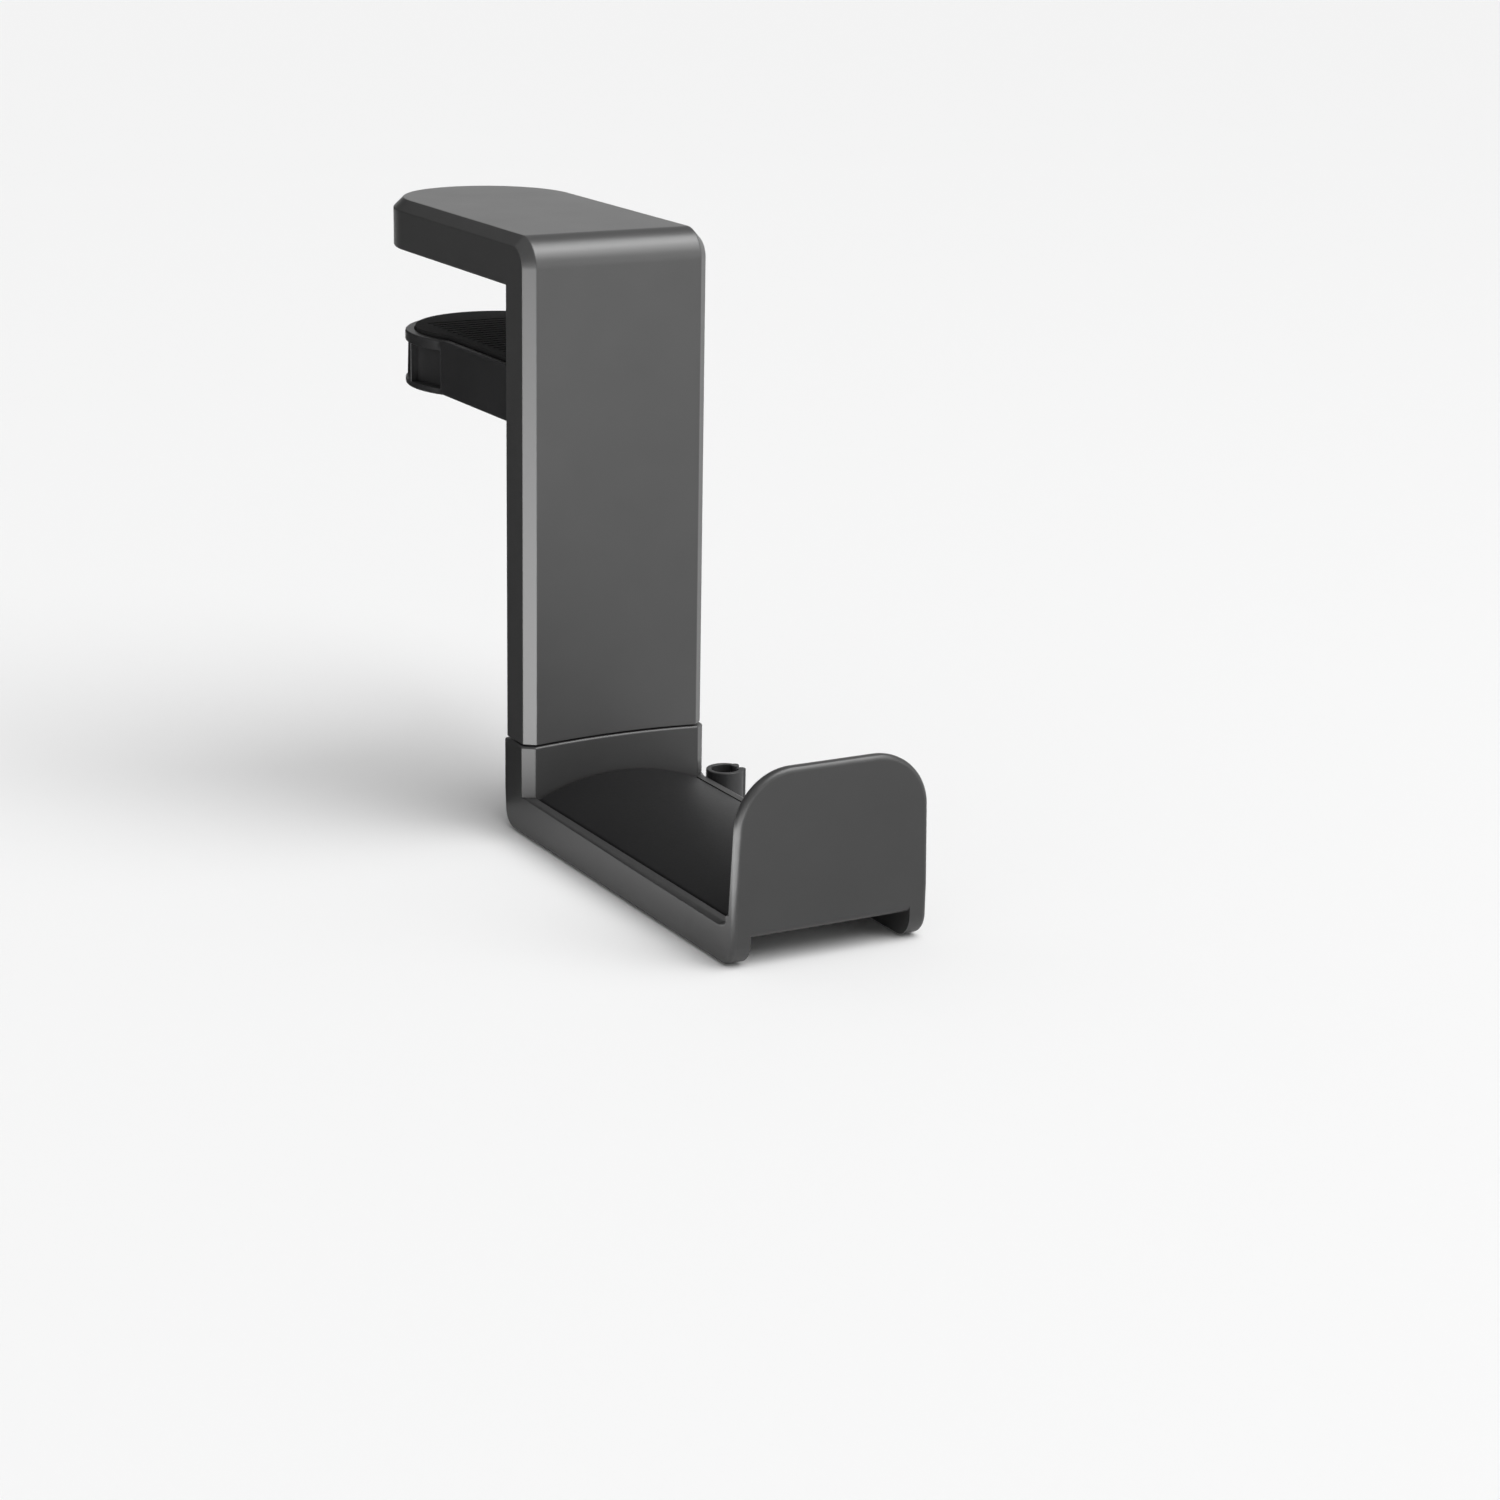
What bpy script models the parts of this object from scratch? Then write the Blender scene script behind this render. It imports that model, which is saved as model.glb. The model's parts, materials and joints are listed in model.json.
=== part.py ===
"""Desk-clamp headphone hook: a fixed clamp, a sprung jaw and a hook that swivels under the column.

Metres, +Z up. The origin is the centre of the flat underside of the rubber pad that rests on
the desk top, so the desk top is z = 0. The user sits at -Y and the desk lies towards +Y.
"""

import bmesh
import bpy
from math import acos, cos, hypot, pi, radians, sin, sqrt, tan
from mathutils import Matrix, Vector

# ---- clamp: one cast shell, a column with an arm over the desk -------------------------------
CLAMP_WIDTH = 0.0420
CAVITY_DEPTH = 0.0060
COLUMN_HEIGHT = 0.1060
ARM_REACH = 0.0740
ARM_THICKNESS = 0.0106
CLAMP_CHAMFER = 0.0022
BEND_RADIUS = 0.0063
FRONT_WALL = 0.0020
SIDE_WALL = 0.0024
SEAM_RISE = 0.0007

# ---- covers and rubber ------------------------------------------------------------------------
COVER_THICKNESS = 0.0022
ARM_PLATE_THICKNESS = 0.0034
PAD_PROUD = 0.0008
PAD_THICKNESS = 0.0014
PAD_SETBACK = 0.0040
PAD_MARGIN = 0.0022
DESK_THICKNESS = 0.0158

# ---- jaw and its guide ------------------------------------------------------------------------
JAW_HEIGHT = 0.0119
JAW_SIDE_INSET = 0.0024
JAW_DISC_CENTRE = 0.0473
JAW_RIM = 0.0014
JAW_RIBS = 12
JAW_RIB_WIDTH = 0.0022
JAW_POCKET_DEPTH = 0.0026
JAW_DROP = 0.0200
JAW_LIFT = 0.0145
CARRIAGE_HEIGHT = 0.0135
TONGUE_WIDTH = 0.0130
TONGUE_HEIGHT = 0.0068
TONGUE_REACH = 0.0145
CARRIAGE_WALL = 0.0006
ROD_SPACING = 0.0190
BUSH_WALL = 0.0005
SPRING_WIRE = 0.0006
SPRING_TURNS = 11
ROD_SEAT_WIDTH = 0.0060
ROD_SEAT_HEIGHT = 0.0050
ROD_SOCKET = 0.0035
SLOT_CORNER_RADIUS = 0.0010

# ---- base block and pivot ---------------------------------------------------------------------
BLOCK_HEIGHT = 0.0105
BLOCK_WALL = 0.00065
BOLT_SHOULDER = 0.00125
BOLT_HEAD_HEIGHT = 0.0026
NUT_WIDTH = 0.0100
NUT_HEIGHT = 0.0032
WASHER_THICKNESS = 0.0008
FRICTION_DISC_RADIUS = 0.0044

# ---- hook -------------------------------------------------------------------------------------
HOOK_OVERHANG = 0.0004
HOOK_CHAMFER = 0.0022
UPRIGHT_HEIGHT = 0.0111
UPRIGHT_TOP_WALL = 0.0032
TRAY_LENGTH = 0.0908
WEB_THICKNESS = 0.0026
SKIRT_HEIGHT = 0.0083
SKIRT_WALL = 0.0039
REAR_CORNER_RADIUS = 0.0040
FRONT_CORNER_RADIUS = 0.0050
PLATE_HEIGHT = 0.0303
PLATE_THICKNESS = 0.0026
PLATE_CORNER_RADIUS = 0.0118
PLATE_SIDE_TAPER = radians(2.0)
PLATE_LEAN = radians(1.0)
PLATE_FILLET = 0.0030
SADDLE_BORDER = 0.0027
SADDLE_CROWN = 0.0040
SADDLE_SEAT = 0.0012

# ---- cable clip -------------------------------------------------------------------------------
CLIP_OUTER_RADIUS = 0.0041
CLIP_WALL = 0.0011
CLIP_HEIGHT = 0.0085
CLIP_OPENING = radians(50.0)
CLIP_BEAD_RADIUS = 0.0010
CLIP_STEM = 0.0030
CLIP_STEM_SETBACK = 0.0004
CLIP_RISE = 0.0010

# ---- screws and fits --------------------------------------------------------------------------
GAP = 0.0003
SCREW_RADIUS = 0.0011
SCREW_HEAD_RADIUS = 0.0020
SCREW_HEAD_HEIGHT = 0.0011
SCREW_LENGTH = 0.0052
ARM_SCREW_LENGTH = 0.0045
SADDLE_SCREW_LENGTH = 0.0040
SCREW_HOLE_DEPTH = 0.0060
BOSS_HOLE_DEPTH = 0.0066
ARM_HOLE_DEPTH = 0.0075
SADDLE_HOLE_DEPTH = 0.0025
BOSS_HEAD_ROOM = 0.0015
BOSS_RADIUS = 0.0023
OVERCUT = 0.0010

# Screw places: below the arm, half way down the cover, and in from each end of a part.
COVER_SCREW_DROP = 0.0045
COVER_SCREW_MIDDLE_Z = -0.0600
ARM_SCREW_INSET = 0.0120
JAW_SCREW_INSETS = (0.0045, 0.0108)
SADDLE_SCREW_INSETS = (0.0200, 0.0220)

# Shares of a screw's or bolt's own radius and height that draw its point, head and recess.
POINT_SHARE = 0.6
POINT_LENGTH_SHARE = 0.4
HEAD_EDGE_SHARE = 0.45
HEAD_TOP_SHARE = 0.8
RECESS_SHARE = 0.46
RECESS_FLOOR_SHARE = 0.40
RECESS_DEPTH_SHARE = 0.6
BOLT_FACE_SHARE = 0.86
BOLT_RECESS_SHARE = 0.50
BOLT_END_SHARE = 0.7

# Steps round each kind of curve.
CORNER_STEPS = 5
BEND_STEPS = 6
PLATE_CORNER_STEPS = 8
ROUND_STEPS = 12
CLIP_STEPS = 18
SCREW_SEGMENTS = 12
BORE_SEGMENTS = 16
BOLT_SEGMENTS = 18
DISC_SEGMENTS = 24
DOME_SEGMENTS = 32
COIL_STEPS_PER_TURN = 9
COIL_SIDES = 5

# How a mesh is closed up and shaded, and how deep the tool for the domed seam is.
MERGE_DISTANCE = 1e-7
SHADING_ANGLE = radians(35.0)
DOME_DEPTH = 0.0060

# ---- places worked out from the sizes above ---------------------------------------------------
HALF_CLAMP = CLAMP_WIDTH / 2
HALF_CAVITY = HALF_CLAMP - SIDE_WALL
HALF_HOOK = HALF_CLAMP + HOOK_OVERHANG
HALF_SADDLE = HALF_HOOK - SADDLE_BORDER
HALF_JAW = HALF_CLAMP - JAW_SIDE_INSET
JAW_DISC_RADIUS = HALF_CLAMP
COLUMN_DEPTH = FRONT_WALL + CAVITY_DEPTH + COVER_THICKNESS
NUT_DEPTH = CAVITY_DEPTH - 2 * GAP
BOLT_RADIUS = NUT_DEPTH / 2 - BLOCK_WALL - GAP
BOLT_HEAD_RADIUS = BOLT_RADIUS + BOLT_SHOULDER
BUSH_RADIUS = CAVITY_DEPTH / 2 - GAP - CARRIAGE_WALL - GAP
ROD_RADIUS = BUSH_RADIUS - BUSH_WALL - GAP

PAD_FAR_END = ARM_REACH - SIDE_WALL - PAD_MARGIN
REAR_Y = -(PAD_SETBACK + PAD_FAR_END) / 2
FRONT_Y = REAR_Y - COLUMN_DEPTH
ARM_ROUND_Y = REAR_Y + ARM_REACH - HALF_CLAMP
COVER_Y = REAR_Y - COVER_THICKNESS
CAVITY_FRONT_Y = FRONT_Y + FRONT_WALL
AXIS_Y = (CAVITY_FRONT_Y + COVER_Y) / 2

UNDERSIDE_Z = PAD_PROUD
TOP_Z = UNDERSIDE_Z + ARM_THICKNESS
SEAM_Z = TOP_Z - COLUMN_HEIGHT
JAW_PAD_Z = -DESK_THICKNESS
JAW_TOP_Z = JAW_PAD_Z - PAD_PROUD
JAW_BOTTOM_Z = JAW_TOP_Z - JAW_HEIGHT
TONGUE_TOP_Z = JAW_TOP_Z - (JAW_HEIGHT - TONGUE_HEIGHT) / 2
TONGUE_BOTTOM_Z = TONGUE_TOP_Z - TONGUE_HEIGHT
CARRIAGE_TOP_Z = (TONGUE_TOP_Z + TONGUE_BOTTOM_Z + CARRIAGE_HEIGHT) / 2
CARRIAGE_BOTTOM_Z = CARRIAGE_TOP_Z - CARRIAGE_HEIGHT
BLOCK_TOP_Z = SEAM_Z + BLOCK_HEIGHT
COVER_BOTTOM_Z = SEAM_Z + 2 * SEAM_RISE
COVER_TOP_Z = UNDERSIDE_Z + ARM_PLATE_THICKNESS
ROD_SEAT_Z = CARRIAGE_TOP_Z + JAW_LIFT + 3 * GAP
PAD_SEAT = PAD_THICKNESS - PAD_PROUD + GAP

HOOK_TOP_Z = SEAM_Z - GAP
FLOOR_Z = HOOK_TOP_Z - UPRIGHT_HEIGHT
WEB_Z = FLOOR_Z - WEB_THICKNESS
SKIRT_Z = FLOOR_Z - SKIRT_HEIGHT
HOOK_FRONT_Y = FRONT_Y - GAP
HOOK_REAR_Y = REAR_Y + GAP
PLATE_Y = HOOK_FRONT_Y - TRAY_LENGTH
PLATE_TOP_Z = FLOOR_Z + PLATE_HEIGHT
BOLT_HEAD_Z = HOOK_TOP_Z - UPRIGHT_TOP_WALL - GAP
CLIP_Y = HOOK_FRONT_Y - GAP
CLIP_X = HALF_HOOK + GAP + CLIP_OUTER_RADIUS
CLIP_TOP_Z = FLOOR_Z + CLIP_RISE
CLIP_STEM_Z = WEB_Z - CLIP_STEM / 2 - 2 * GAP
CLIP_STEM_Y = CLIP_Y + CLIP_STEM_SETBACK

# Screw places: along the rear cover, in the arm plate, under the jaw and under the hook.
COVER_SCREW_X = HALF_CAVITY - GAP - SCREW_HEAD_RADIUS - 2 * GAP
COVER_SCREW_ROWS = (
    UNDERSIDE_Z - COVER_SCREW_DROP,
    COVER_SCREW_MIDDLE_Z,
    BLOCK_TOP_Z - BLOCK_HEIGHT / 2,
)
ARM_SCREW_YS = (REAR_Y + ARM_SCREW_INSET, ARM_ROUND_Y + HALF_CLAMP / 2)
JAW_SCREW_YS = [REAR_Y + inset for inset in JAW_SCREW_INSETS]
SADDLE_SCREW_YS = (HOOK_FRONT_Y - SADDLE_SCREW_INSETS[0], PLATE_Y + SADDLE_SCREW_INSETS[1])


# ---- materials --------------------------------------------------------------------------------
def make_material(name, colour, roughness, metallic):
    material = bpy.data.materials.new(name)
    material.use_nodes = True
    shader = material.node_tree.nodes["Principled BSDF"]
    shader.inputs["Base Color"].default_value = (*colour, 1.0)
    shader.inputs["Roughness"].default_value = roughness
    shader.inputs["Metallic"].default_value = metallic
    material.diffuse_color = (*colour, 1.0)
    return material


def make_materials():
    return {
        "shell": make_material("dark_satin_metal", (0.075, 0.077, 0.080), 0.38, 0.85),
        "hook": make_material("dark_satin_cast", (0.060, 0.062, 0.065), 0.42, 0.60),
        "plastic": make_material("black_plastic", (0.030, 0.030, 0.032), 0.50, 0.0),
        "rubber": make_material("black_rubber", (0.020, 0.020, 0.020), 0.85, 0.0),
        "steel": make_material("plated_steel", (0.55, 0.55, 0.57), 0.30, 1.0),
        "bronze": make_material("bush_bronze", (0.45, 0.31, 0.17), 0.35, 1.0),
    }


# ---- mesh helpers -----------------------------------------------------------------------------
def finish_mesh(bm, name, material):
    """Close the mesh up, face it outwards and link it to the scene."""
    bmesh.ops.remove_doubles(bm, verts=bm.verts, dist=MERGE_DISTANCE)
    bmesh.ops.dissolve_degenerate(bm, edges=bm.edges, dist=MERGE_DISTANCE)
    bmesh.ops.recalc_face_normals(bm, faces=bm.faces)
    mesh = bpy.data.meshes.new(name)
    bm.to_mesh(mesh)
    bm.free()
    mesh.shade_smooth()
    mesh.set_sharp_from_angle(angle=SHADING_ANGLE)
    obj = bpy.data.objects.new(name, mesh)
    bpy.context.collection.objects.link(obj)
    if material:
        mesh.materials.append(material)
    return obj


def loft(rings, cap_start=True, cap_end=True):
    """Join rings of points, each with as many points as the next."""
    bm = bmesh.new()
    layers = [[bm.verts.new(point) for point in ring] for ring in rings]
    for lower, upper in zip(layers, layers[1:]):
        for i in range(len(lower)):
            j = (i + 1) % len(lower)
            bm.faces.new((lower[i], lower[j], upper[j], upper[i]))
    if cap_start:
        bm.faces.new(layers[0])
    if cap_end:
        bm.faces.new(layers[-1])
    return bm


def prism(outline, axis, low, high):
    """A closed outline extruded along an axis: (y, z) along X, (x, z) along Y, (x, y) along Z."""

    def place(point, level):
        if axis == "X":
            return Vector((level, point[0], point[1]))
        if axis == "Y":
            return Vector((point[0], level, point[1]))
        return Vector((point[0], point[1], level))

    return loft([[place(p, level) for p in outline] for level in (low, high)])


def box(low, high):
    outline = [(low[0], low[1]), (high[0], low[1]), (high[0], high[1]), (low[0], high[1])]
    return prism(outline, "Z", low[2], high[2])


def arc(centre, radius, start, end, steps):
    """Points on a circle from one angle to another, both ends included."""
    turn = (end - start) / steps
    return [
        (centre[0] + radius * cos(start + turn * i), centre[1] + radius * sin(start + turn * i))
        for i in range(steps + 1)
    ]


def ring(radius, height, segments):
    """Points round Z, turned by half a step so that rings of different counts share no angle."""
    angles = [2 * pi * (i + 0.5) / segments for i in range(segments)]
    return [Vector((radius * cos(a), radius * sin(a), height)) for a in angles]


def turned(profile, segments):
    """A solid turned about Z from (radius, height) points, from its bottom to its top."""
    rings = [ring(r, z, segments) for r, z in profile]
    return loft(rings, cap_start=profile[0][0] > 0, cap_end=profile[-1][0] > 0)


def tube(outer, inner, low, high, segments):
    """A round tube about Z."""
    profile = [(inner, low), (outer, low), (outer, high), (inner, high), (inner, low)]
    rings = [ring(r, z, segments) for r, z in profile]
    return loft(rings, cap_start=False, cap_end=False)


def moved(bm, offset, turn=None):
    """Turn a mesh about the origin, then move it."""
    if turn is not None:
        bmesh.ops.transform(bm, matrix=turn, verts=bm.verts)
    bmesh.ops.translate(bm, vec=Vector(offset), verts=bm.verts)
    return bm


def add_boolean(target, bm, operation):
    """Cut or join a hidden helper solid."""
    helper = finish_mesh(bm, "helper_" + target.name, None)
    helper.hide_render = True
    helper.display_type = "WIRE"
    modifier = target.modifiers.new(operation.lower(), "BOOLEAN")
    modifier.operation = operation
    modifier.solver = "EXACT"
    modifier.object = helper


def cut(target, bm):
    add_boolean(target, bm, "DIFFERENCE")


def join(target, bm):
    add_boolean(target, bm, "UNION")


TURN_TO_Y = Matrix.Rotation(-pi / 2, 4, "X")
TURN_DOWN = Matrix.Rotation(pi, 4, "X")


# ---- shared shapes ----------------------------------------------------------------------------
def clamp_form(half_width, front_y, rear_y, top_z, under_z, bottom_z, bend, chamfer):
    """The clamp's upside-down L: column, bend, arm and round far end, chamfered along its edges."""

    def section(inner, y_face, z_face, y_edge, z_edge, y_back, z_back):
        return [
            Vector((-half_width, y_back, z_back)),
            Vector((-half_width, y_edge, z_edge)),
            Vector((-inner, y_face, z_face)),
            Vector((inner, y_face, z_face)),
            Vector((half_width, y_edge, z_edge)),
            Vector((half_width, y_back, z_back)),
        ]

    inner = half_width - chamfer
    bend_y = front_y + bend
    bend_z = top_z - bend
    rings = [section(inner, front_y, bottom_z, front_y + chamfer, bottom_z, rear_y, bottom_z)]
    for i in range(BEND_STEPS + 1):
        angle = pi / 2 * i / BEND_STEPS
        y_face = bend_y - bend * cos(angle)
        z_face = bend_z + bend * sin(angle)
        y_edge = bend_y - (bend - chamfer) * cos(angle)
        z_edge = bend_z + (bend - chamfer) * sin(angle)
        rings.append(section(inner, y_face, z_face, y_edge, z_edge, rear_y, under_z))
    for i in range(ROUND_STEPS + 1):
        angle = pi / 2 * i / ROUND_STEPS
        face = Vector((inner * cos(angle), ARM_ROUND_Y + inner * sin(angle), top_z))
        edge = Vector((half_width * cos(angle), ARM_ROUND_Y + half_width * sin(angle), 0))
        rings.append(
            [
                Vector((-edge.x, edge.y, under_z)),
                Vector((-edge.x, edge.y, top_z - chamfer)),
                Vector((-face.x, face.y, top_z)),
                face,
                Vector((edge.x, edge.y, top_z - chamfer)),
                Vector((edge.x, edge.y, under_z)),
            ]
        )
    return loft(rings, cap_end=False)


def tongue_outline(half_width, near_y, centre_y, radius, steps=ROUND_STEPS):
    """Plan of a plate with a square near end and a round far end, wider than the plate or equal."""
    join_y = centre_y - sqrt(max(radius**2 - half_width**2, 0.0))
    start = -acos(min(half_width / radius, 1.0))
    far = arc((0.0, centre_y), radius, start, pi - start, 2 * steps)
    if join_y - near_y < GAP:
        return far
    return [(-half_width, near_y), (half_width, near_y)] + far


def rounded_slot(half_width, low, high, radius):
    """An upright rounded rectangle, (x, z), centred on x = 0."""
    inner = half_width - radius
    corners = [(inner, low + radius), (inner, high - radius)]
    corners += [(-inner, high - radius), (-inner, low + radius)]
    points = []
    for i, corner in enumerate(corners):
        points += arc(corner, radius, (i - 1) * pi / 2, i * pi / 2, CORNER_STEPS)
    return points


def seam_dome(offset, below):
    """Everything under the shallow dome of the seam (or over it), turned about the swivel axis."""
    reach = hypot(HALF_HOOK, COLUMN_DEPTH) + OVERCUT
    dome = (HALF_CLAMP**2 + SEAM_RISE**2) / (2 * SEAM_RISE)
    radii = [reach * i / CORNER_STEPS for i in range(CORNER_STEPS + 1)]
    heights = [SEAM_Z + SEAM_RISE + offset - (dome - sqrt(dome**2 - r**2)) for r in radii]
    surface = list(zip(radii, heights))
    if below:
        far = SEAM_Z - DOME_DEPTH
        profile = [(0.0, far), (reach, far)] + surface[::-1]
    else:
        far = SEAM_Z + DOME_DEPTH
        profile = surface + [(reach, far), (0.0, far)]
    return moved(turned(profile, DOME_SEGMENTS), (0, AXIS_Y, 0))


# ---- fasteners --------------------------------------------------------------------------------
def screw_mesh(length):
    """A pan-head screw with a hexagon recess; the head's top is at z = 0, the shank below it."""
    head = SCREW_HEAD_HEIGHT
    tip = -head - length
    profile = [
        (SCREW_RADIUS * POINT_SHARE, tip),
        (SCREW_RADIUS, tip + SCREW_RADIUS * POINT_LENGTH_SHARE),
        (SCREW_RADIUS, -head),
        (SCREW_HEAD_RADIUS, -head),
        (SCREW_HEAD_RADIUS, -head * HEAD_EDGE_SHARE),
        (SCREW_HEAD_RADIUS * HEAD_TOP_SHARE, 0.0),
        (SCREW_HEAD_RADIUS * RECESS_SHARE, 0.0),
        (SCREW_HEAD_RADIUS * RECESS_FLOOR_SHARE, -head * RECESS_DEPTH_SHARE),
    ]
    return turned(profile, SCREW_SEGMENTS)


def screw_hole(depth, head_depth):
    """The clearance for a screw whose head top is at z = 0, open upwards."""
    shank = SCREW_RADIUS + GAP
    head = SCREW_HEAD_RADIUS + GAP
    profile = [(shank, -depth), (shank, -head_depth), (head, -head_depth), (head, OVERCUT)]
    return turned(profile, SCREW_SEGMENTS)


def round_bar(radius, low, high, segments, place):
    """A plain round bar standing on Z at a place in plan."""
    return moved(turned([(radius, low), (radius, high)], segments), place)


def add_screw(name, place, turn, material, length=SCREW_LENGTH):
    return finish_mesh(moved(screw_mesh(length), place, turn), name, material)


# ---- clamp ------------------------------------------------------------------------------------
def make_clamp_shell(materials):
    shell = finish_mesh(
        clamp_form(
            HALF_CLAMP,
            FRONT_Y,
            REAR_Y,
            TOP_Z,
            UNDERSIDE_Z,
            SEAM_Z - OVERCUT,
            BEND_RADIUS,
            CLAMP_CHAMFER,
        ),
        "clamp_shell",
        materials["shell"],
    )
    cut(
        shell,
        clamp_form(
            HALF_CAVITY,
            CAVITY_FRONT_Y,
            REAR_Y + OVERCUT,
            TOP_Z - FRONT_WALL,
            UNDERSIDE_Z - OVERCUT,
            SEAM_Z - 2 * OVERCUT,
            BEND_RADIUS - FRONT_WALL,
            CLAMP_CHAMFER / 2,
        ),
    )
    wall = CAVITY_FRONT_Y - FRONT_WALL / 2
    for x in (-COVER_SCREW_X, COVER_SCREW_X):
        for z in COVER_SCREW_ROWS[:2]:
            boss = turned([(BOSS_RADIUS, wall), (BOSS_RADIUS, COVER_Y - GAP)], BORE_SEGMENTS)
            join(shell, moved(boss, (x, 0, z), TURN_TO_Y))
    half_seat = (ROD_SPACING + ROD_SEAT_WIDTH) / 2
    seat = box(
        (-half_seat, wall, ROD_SEAT_Z),
        (half_seat, COVER_Y - GAP, ROD_SEAT_Z + ROD_SEAT_HEIGHT),
    )
    join(shell, seat)
    roof = TOP_Z - FRONT_WALL / 2
    for y in ARM_SCREW_YS:
        radius = BOSS_RADIUS + GAP
        join(shell, round_bar(radius, COVER_TOP_Z + GAP, roof, BORE_SEGMENTS, (0, y, 0)))
    for x in (-COVER_SCREW_X, COVER_SCREW_X):
        for z in COVER_SCREW_ROWS[:2]:
            hole = screw_hole(BOSS_HOLE_DEPTH, BOSS_HEAD_ROOM)
            cut(shell, moved(hole, (x, REAR_Y - GAP, z), TURN_TO_Y))
    for x in (-ROD_SPACING / 2, ROD_SPACING / 2):
        low = ROD_SEAT_Z - OVERCUT
        high = ROD_SEAT_Z + ROD_SOCKET
        cut(shell, round_bar(ROD_RADIUS + GAP, low, high, SCREW_SEGMENTS, (x, AXIS_Y, 0)))
    for y in ARM_SCREW_YS:
        hole = screw_hole(ARM_HOLE_DEPTH, BOSS_HEAD_ROOM)
        cut(shell, moved(hole, (0, y, UNDERSIDE_Z + PAD_SEAT), TURN_DOWN))
    cut(shell, seam_dome(0.0, below=True))
    return shell


def make_arm_plate(materials):
    """Closes the arm's underside and carries the top pad."""
    inset = SIDE_WALL + GAP
    outline = tongue_outline(HALF_CLAMP - inset, REAR_Y + GAP, ARM_ROUND_Y, HALF_CLAMP - inset)
    plate = finish_mesh(
        prism(outline, "Z", UNDERSIDE_Z, COVER_TOP_Z), "arm_plate", materials["plastic"]
    )
    margin = SIDE_WALL + PAD_MARGIN - GAP
    seat = tongue_outline(
        HALF_CLAMP - margin, REAR_Y + PAD_SETBACK - GAP, ARM_ROUND_Y, HALF_CLAMP - margin
    )
    cut(plate, prism(seat, "Z", UNDERSIDE_Z - OVERCUT, UNDERSIDE_Z + PAD_SEAT))
    for i, y in enumerate(ARM_SCREW_YS):
        hole = screw_hole(SCREW_HOLE_DEPTH, SCREW_HEAD_HEIGHT + 1.5 * GAP)
        cut(plate, moved(hole, (0, y, UNDERSIDE_Z + PAD_SEAT), TURN_DOWN))
        add_screw(
            f"arm_plate_screw_{i + 1}",
            (0, y, UNDERSIDE_Z + PAD_SEAT + GAP / 2),
            TURN_DOWN,
            materials["steel"],
            length=ARM_SCREW_LENGTH,
        )
    return plate


def make_top_pad(materials):
    half = HALF_CLAMP - SIDE_WALL - PAD_MARGIN
    outline = tongue_outline(half, REAR_Y + PAD_SETBACK, ARM_ROUND_Y, half)
    return finish_mesh(
        prism(outline, "Z", UNDERSIDE_Z - PAD_PROUD, UNDERSIDE_Z - PAD_PROUD + PAD_THICKNESS),
        "top_pad",
        materials["rubber"],
    )


def make_rear_cover(materials):
    """Closes the column's back; the jaw's tongue runs in its slot."""
    cover = finish_mesh(
        box(
            (-(HALF_CAVITY - GAP), COVER_Y, COVER_BOTTOM_Z),
            (HALF_CAVITY - GAP, REAR_Y, COVER_TOP_Z),
        ),
        "rear_cover",
        materials["plastic"],
    )
    slot = rounded_slot(
        TONGUE_WIDTH / 2 + GAP,
        TONGUE_BOTTOM_Z - JAW_DROP - 3 * GAP,
        TONGUE_TOP_Z + JAW_LIFT + 3 * GAP,
        SLOT_CORNER_RADIUS,
    )
    cut(cover, prism(slot, "Y", COVER_Y - OVERCUT, REAR_Y + OVERCUT))
    number = 1
    for z in COVER_SCREW_ROWS:
        for x in (-COVER_SCREW_X, COVER_SCREW_X):
            hole = screw_hole(SCREW_HOLE_DEPTH, SCREW_HEAD_HEIGHT + 1.5 * GAP)
            cut(cover, moved(hole, (x, REAR_Y, z), TURN_TO_Y))
            add_screw(
                f"cover_screw_{number}", (x, REAR_Y - GAP / 2, z), TURN_TO_Y, materials["steel"]
            )
            number += 1
    return cover


def make_base_block(materials):
    """Plugs the column's foot: it holds the swivel bolt and the foot of each guide rod."""
    half = HALF_CAVITY - GAP
    front = CAVITY_FRONT_Y + GAP
    corner = CLAMP_CHAMFER / 2
    plan = [(half, COVER_Y - GAP), (half, front + corner), (half - corner, front)]
    plan += [(-x, y) for x, y in plan[::-1]]
    block = finish_mesh(
        prism(plan, "Z", SEAM_Z - OVERCUT, BLOCK_TOP_Z), "base_block", materials["plastic"]
    )
    cut(block, seam_dome(0.0, below=True))
    high = BLOCK_TOP_Z + OVERCUT
    axis = (0, AXIS_Y, 0)
    cut(block, round_bar(BOLT_RADIUS + GAP, SEAM_Z - OVERCUT, high, BORE_SEGMENTS, axis))
    for x in (-ROD_SPACING / 2, ROD_SPACING / 2):
        low = BLOCK_TOP_Z - ROD_SOCKET
        cut(block, round_bar(ROD_RADIUS + GAP, low, high, SCREW_SEGMENTS, (x, AXIS_Y, 0)))
    for x in (-COVER_SCREW_X, COVER_SCREW_X):
        hole = screw_hole(BOSS_HOLE_DEPTH, BOSS_HEAD_ROOM)
        cut(block, moved(hole, (x, REAR_Y - GAP, COVER_SCREW_ROWS[-1]), TURN_TO_Y))
    return block


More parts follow.
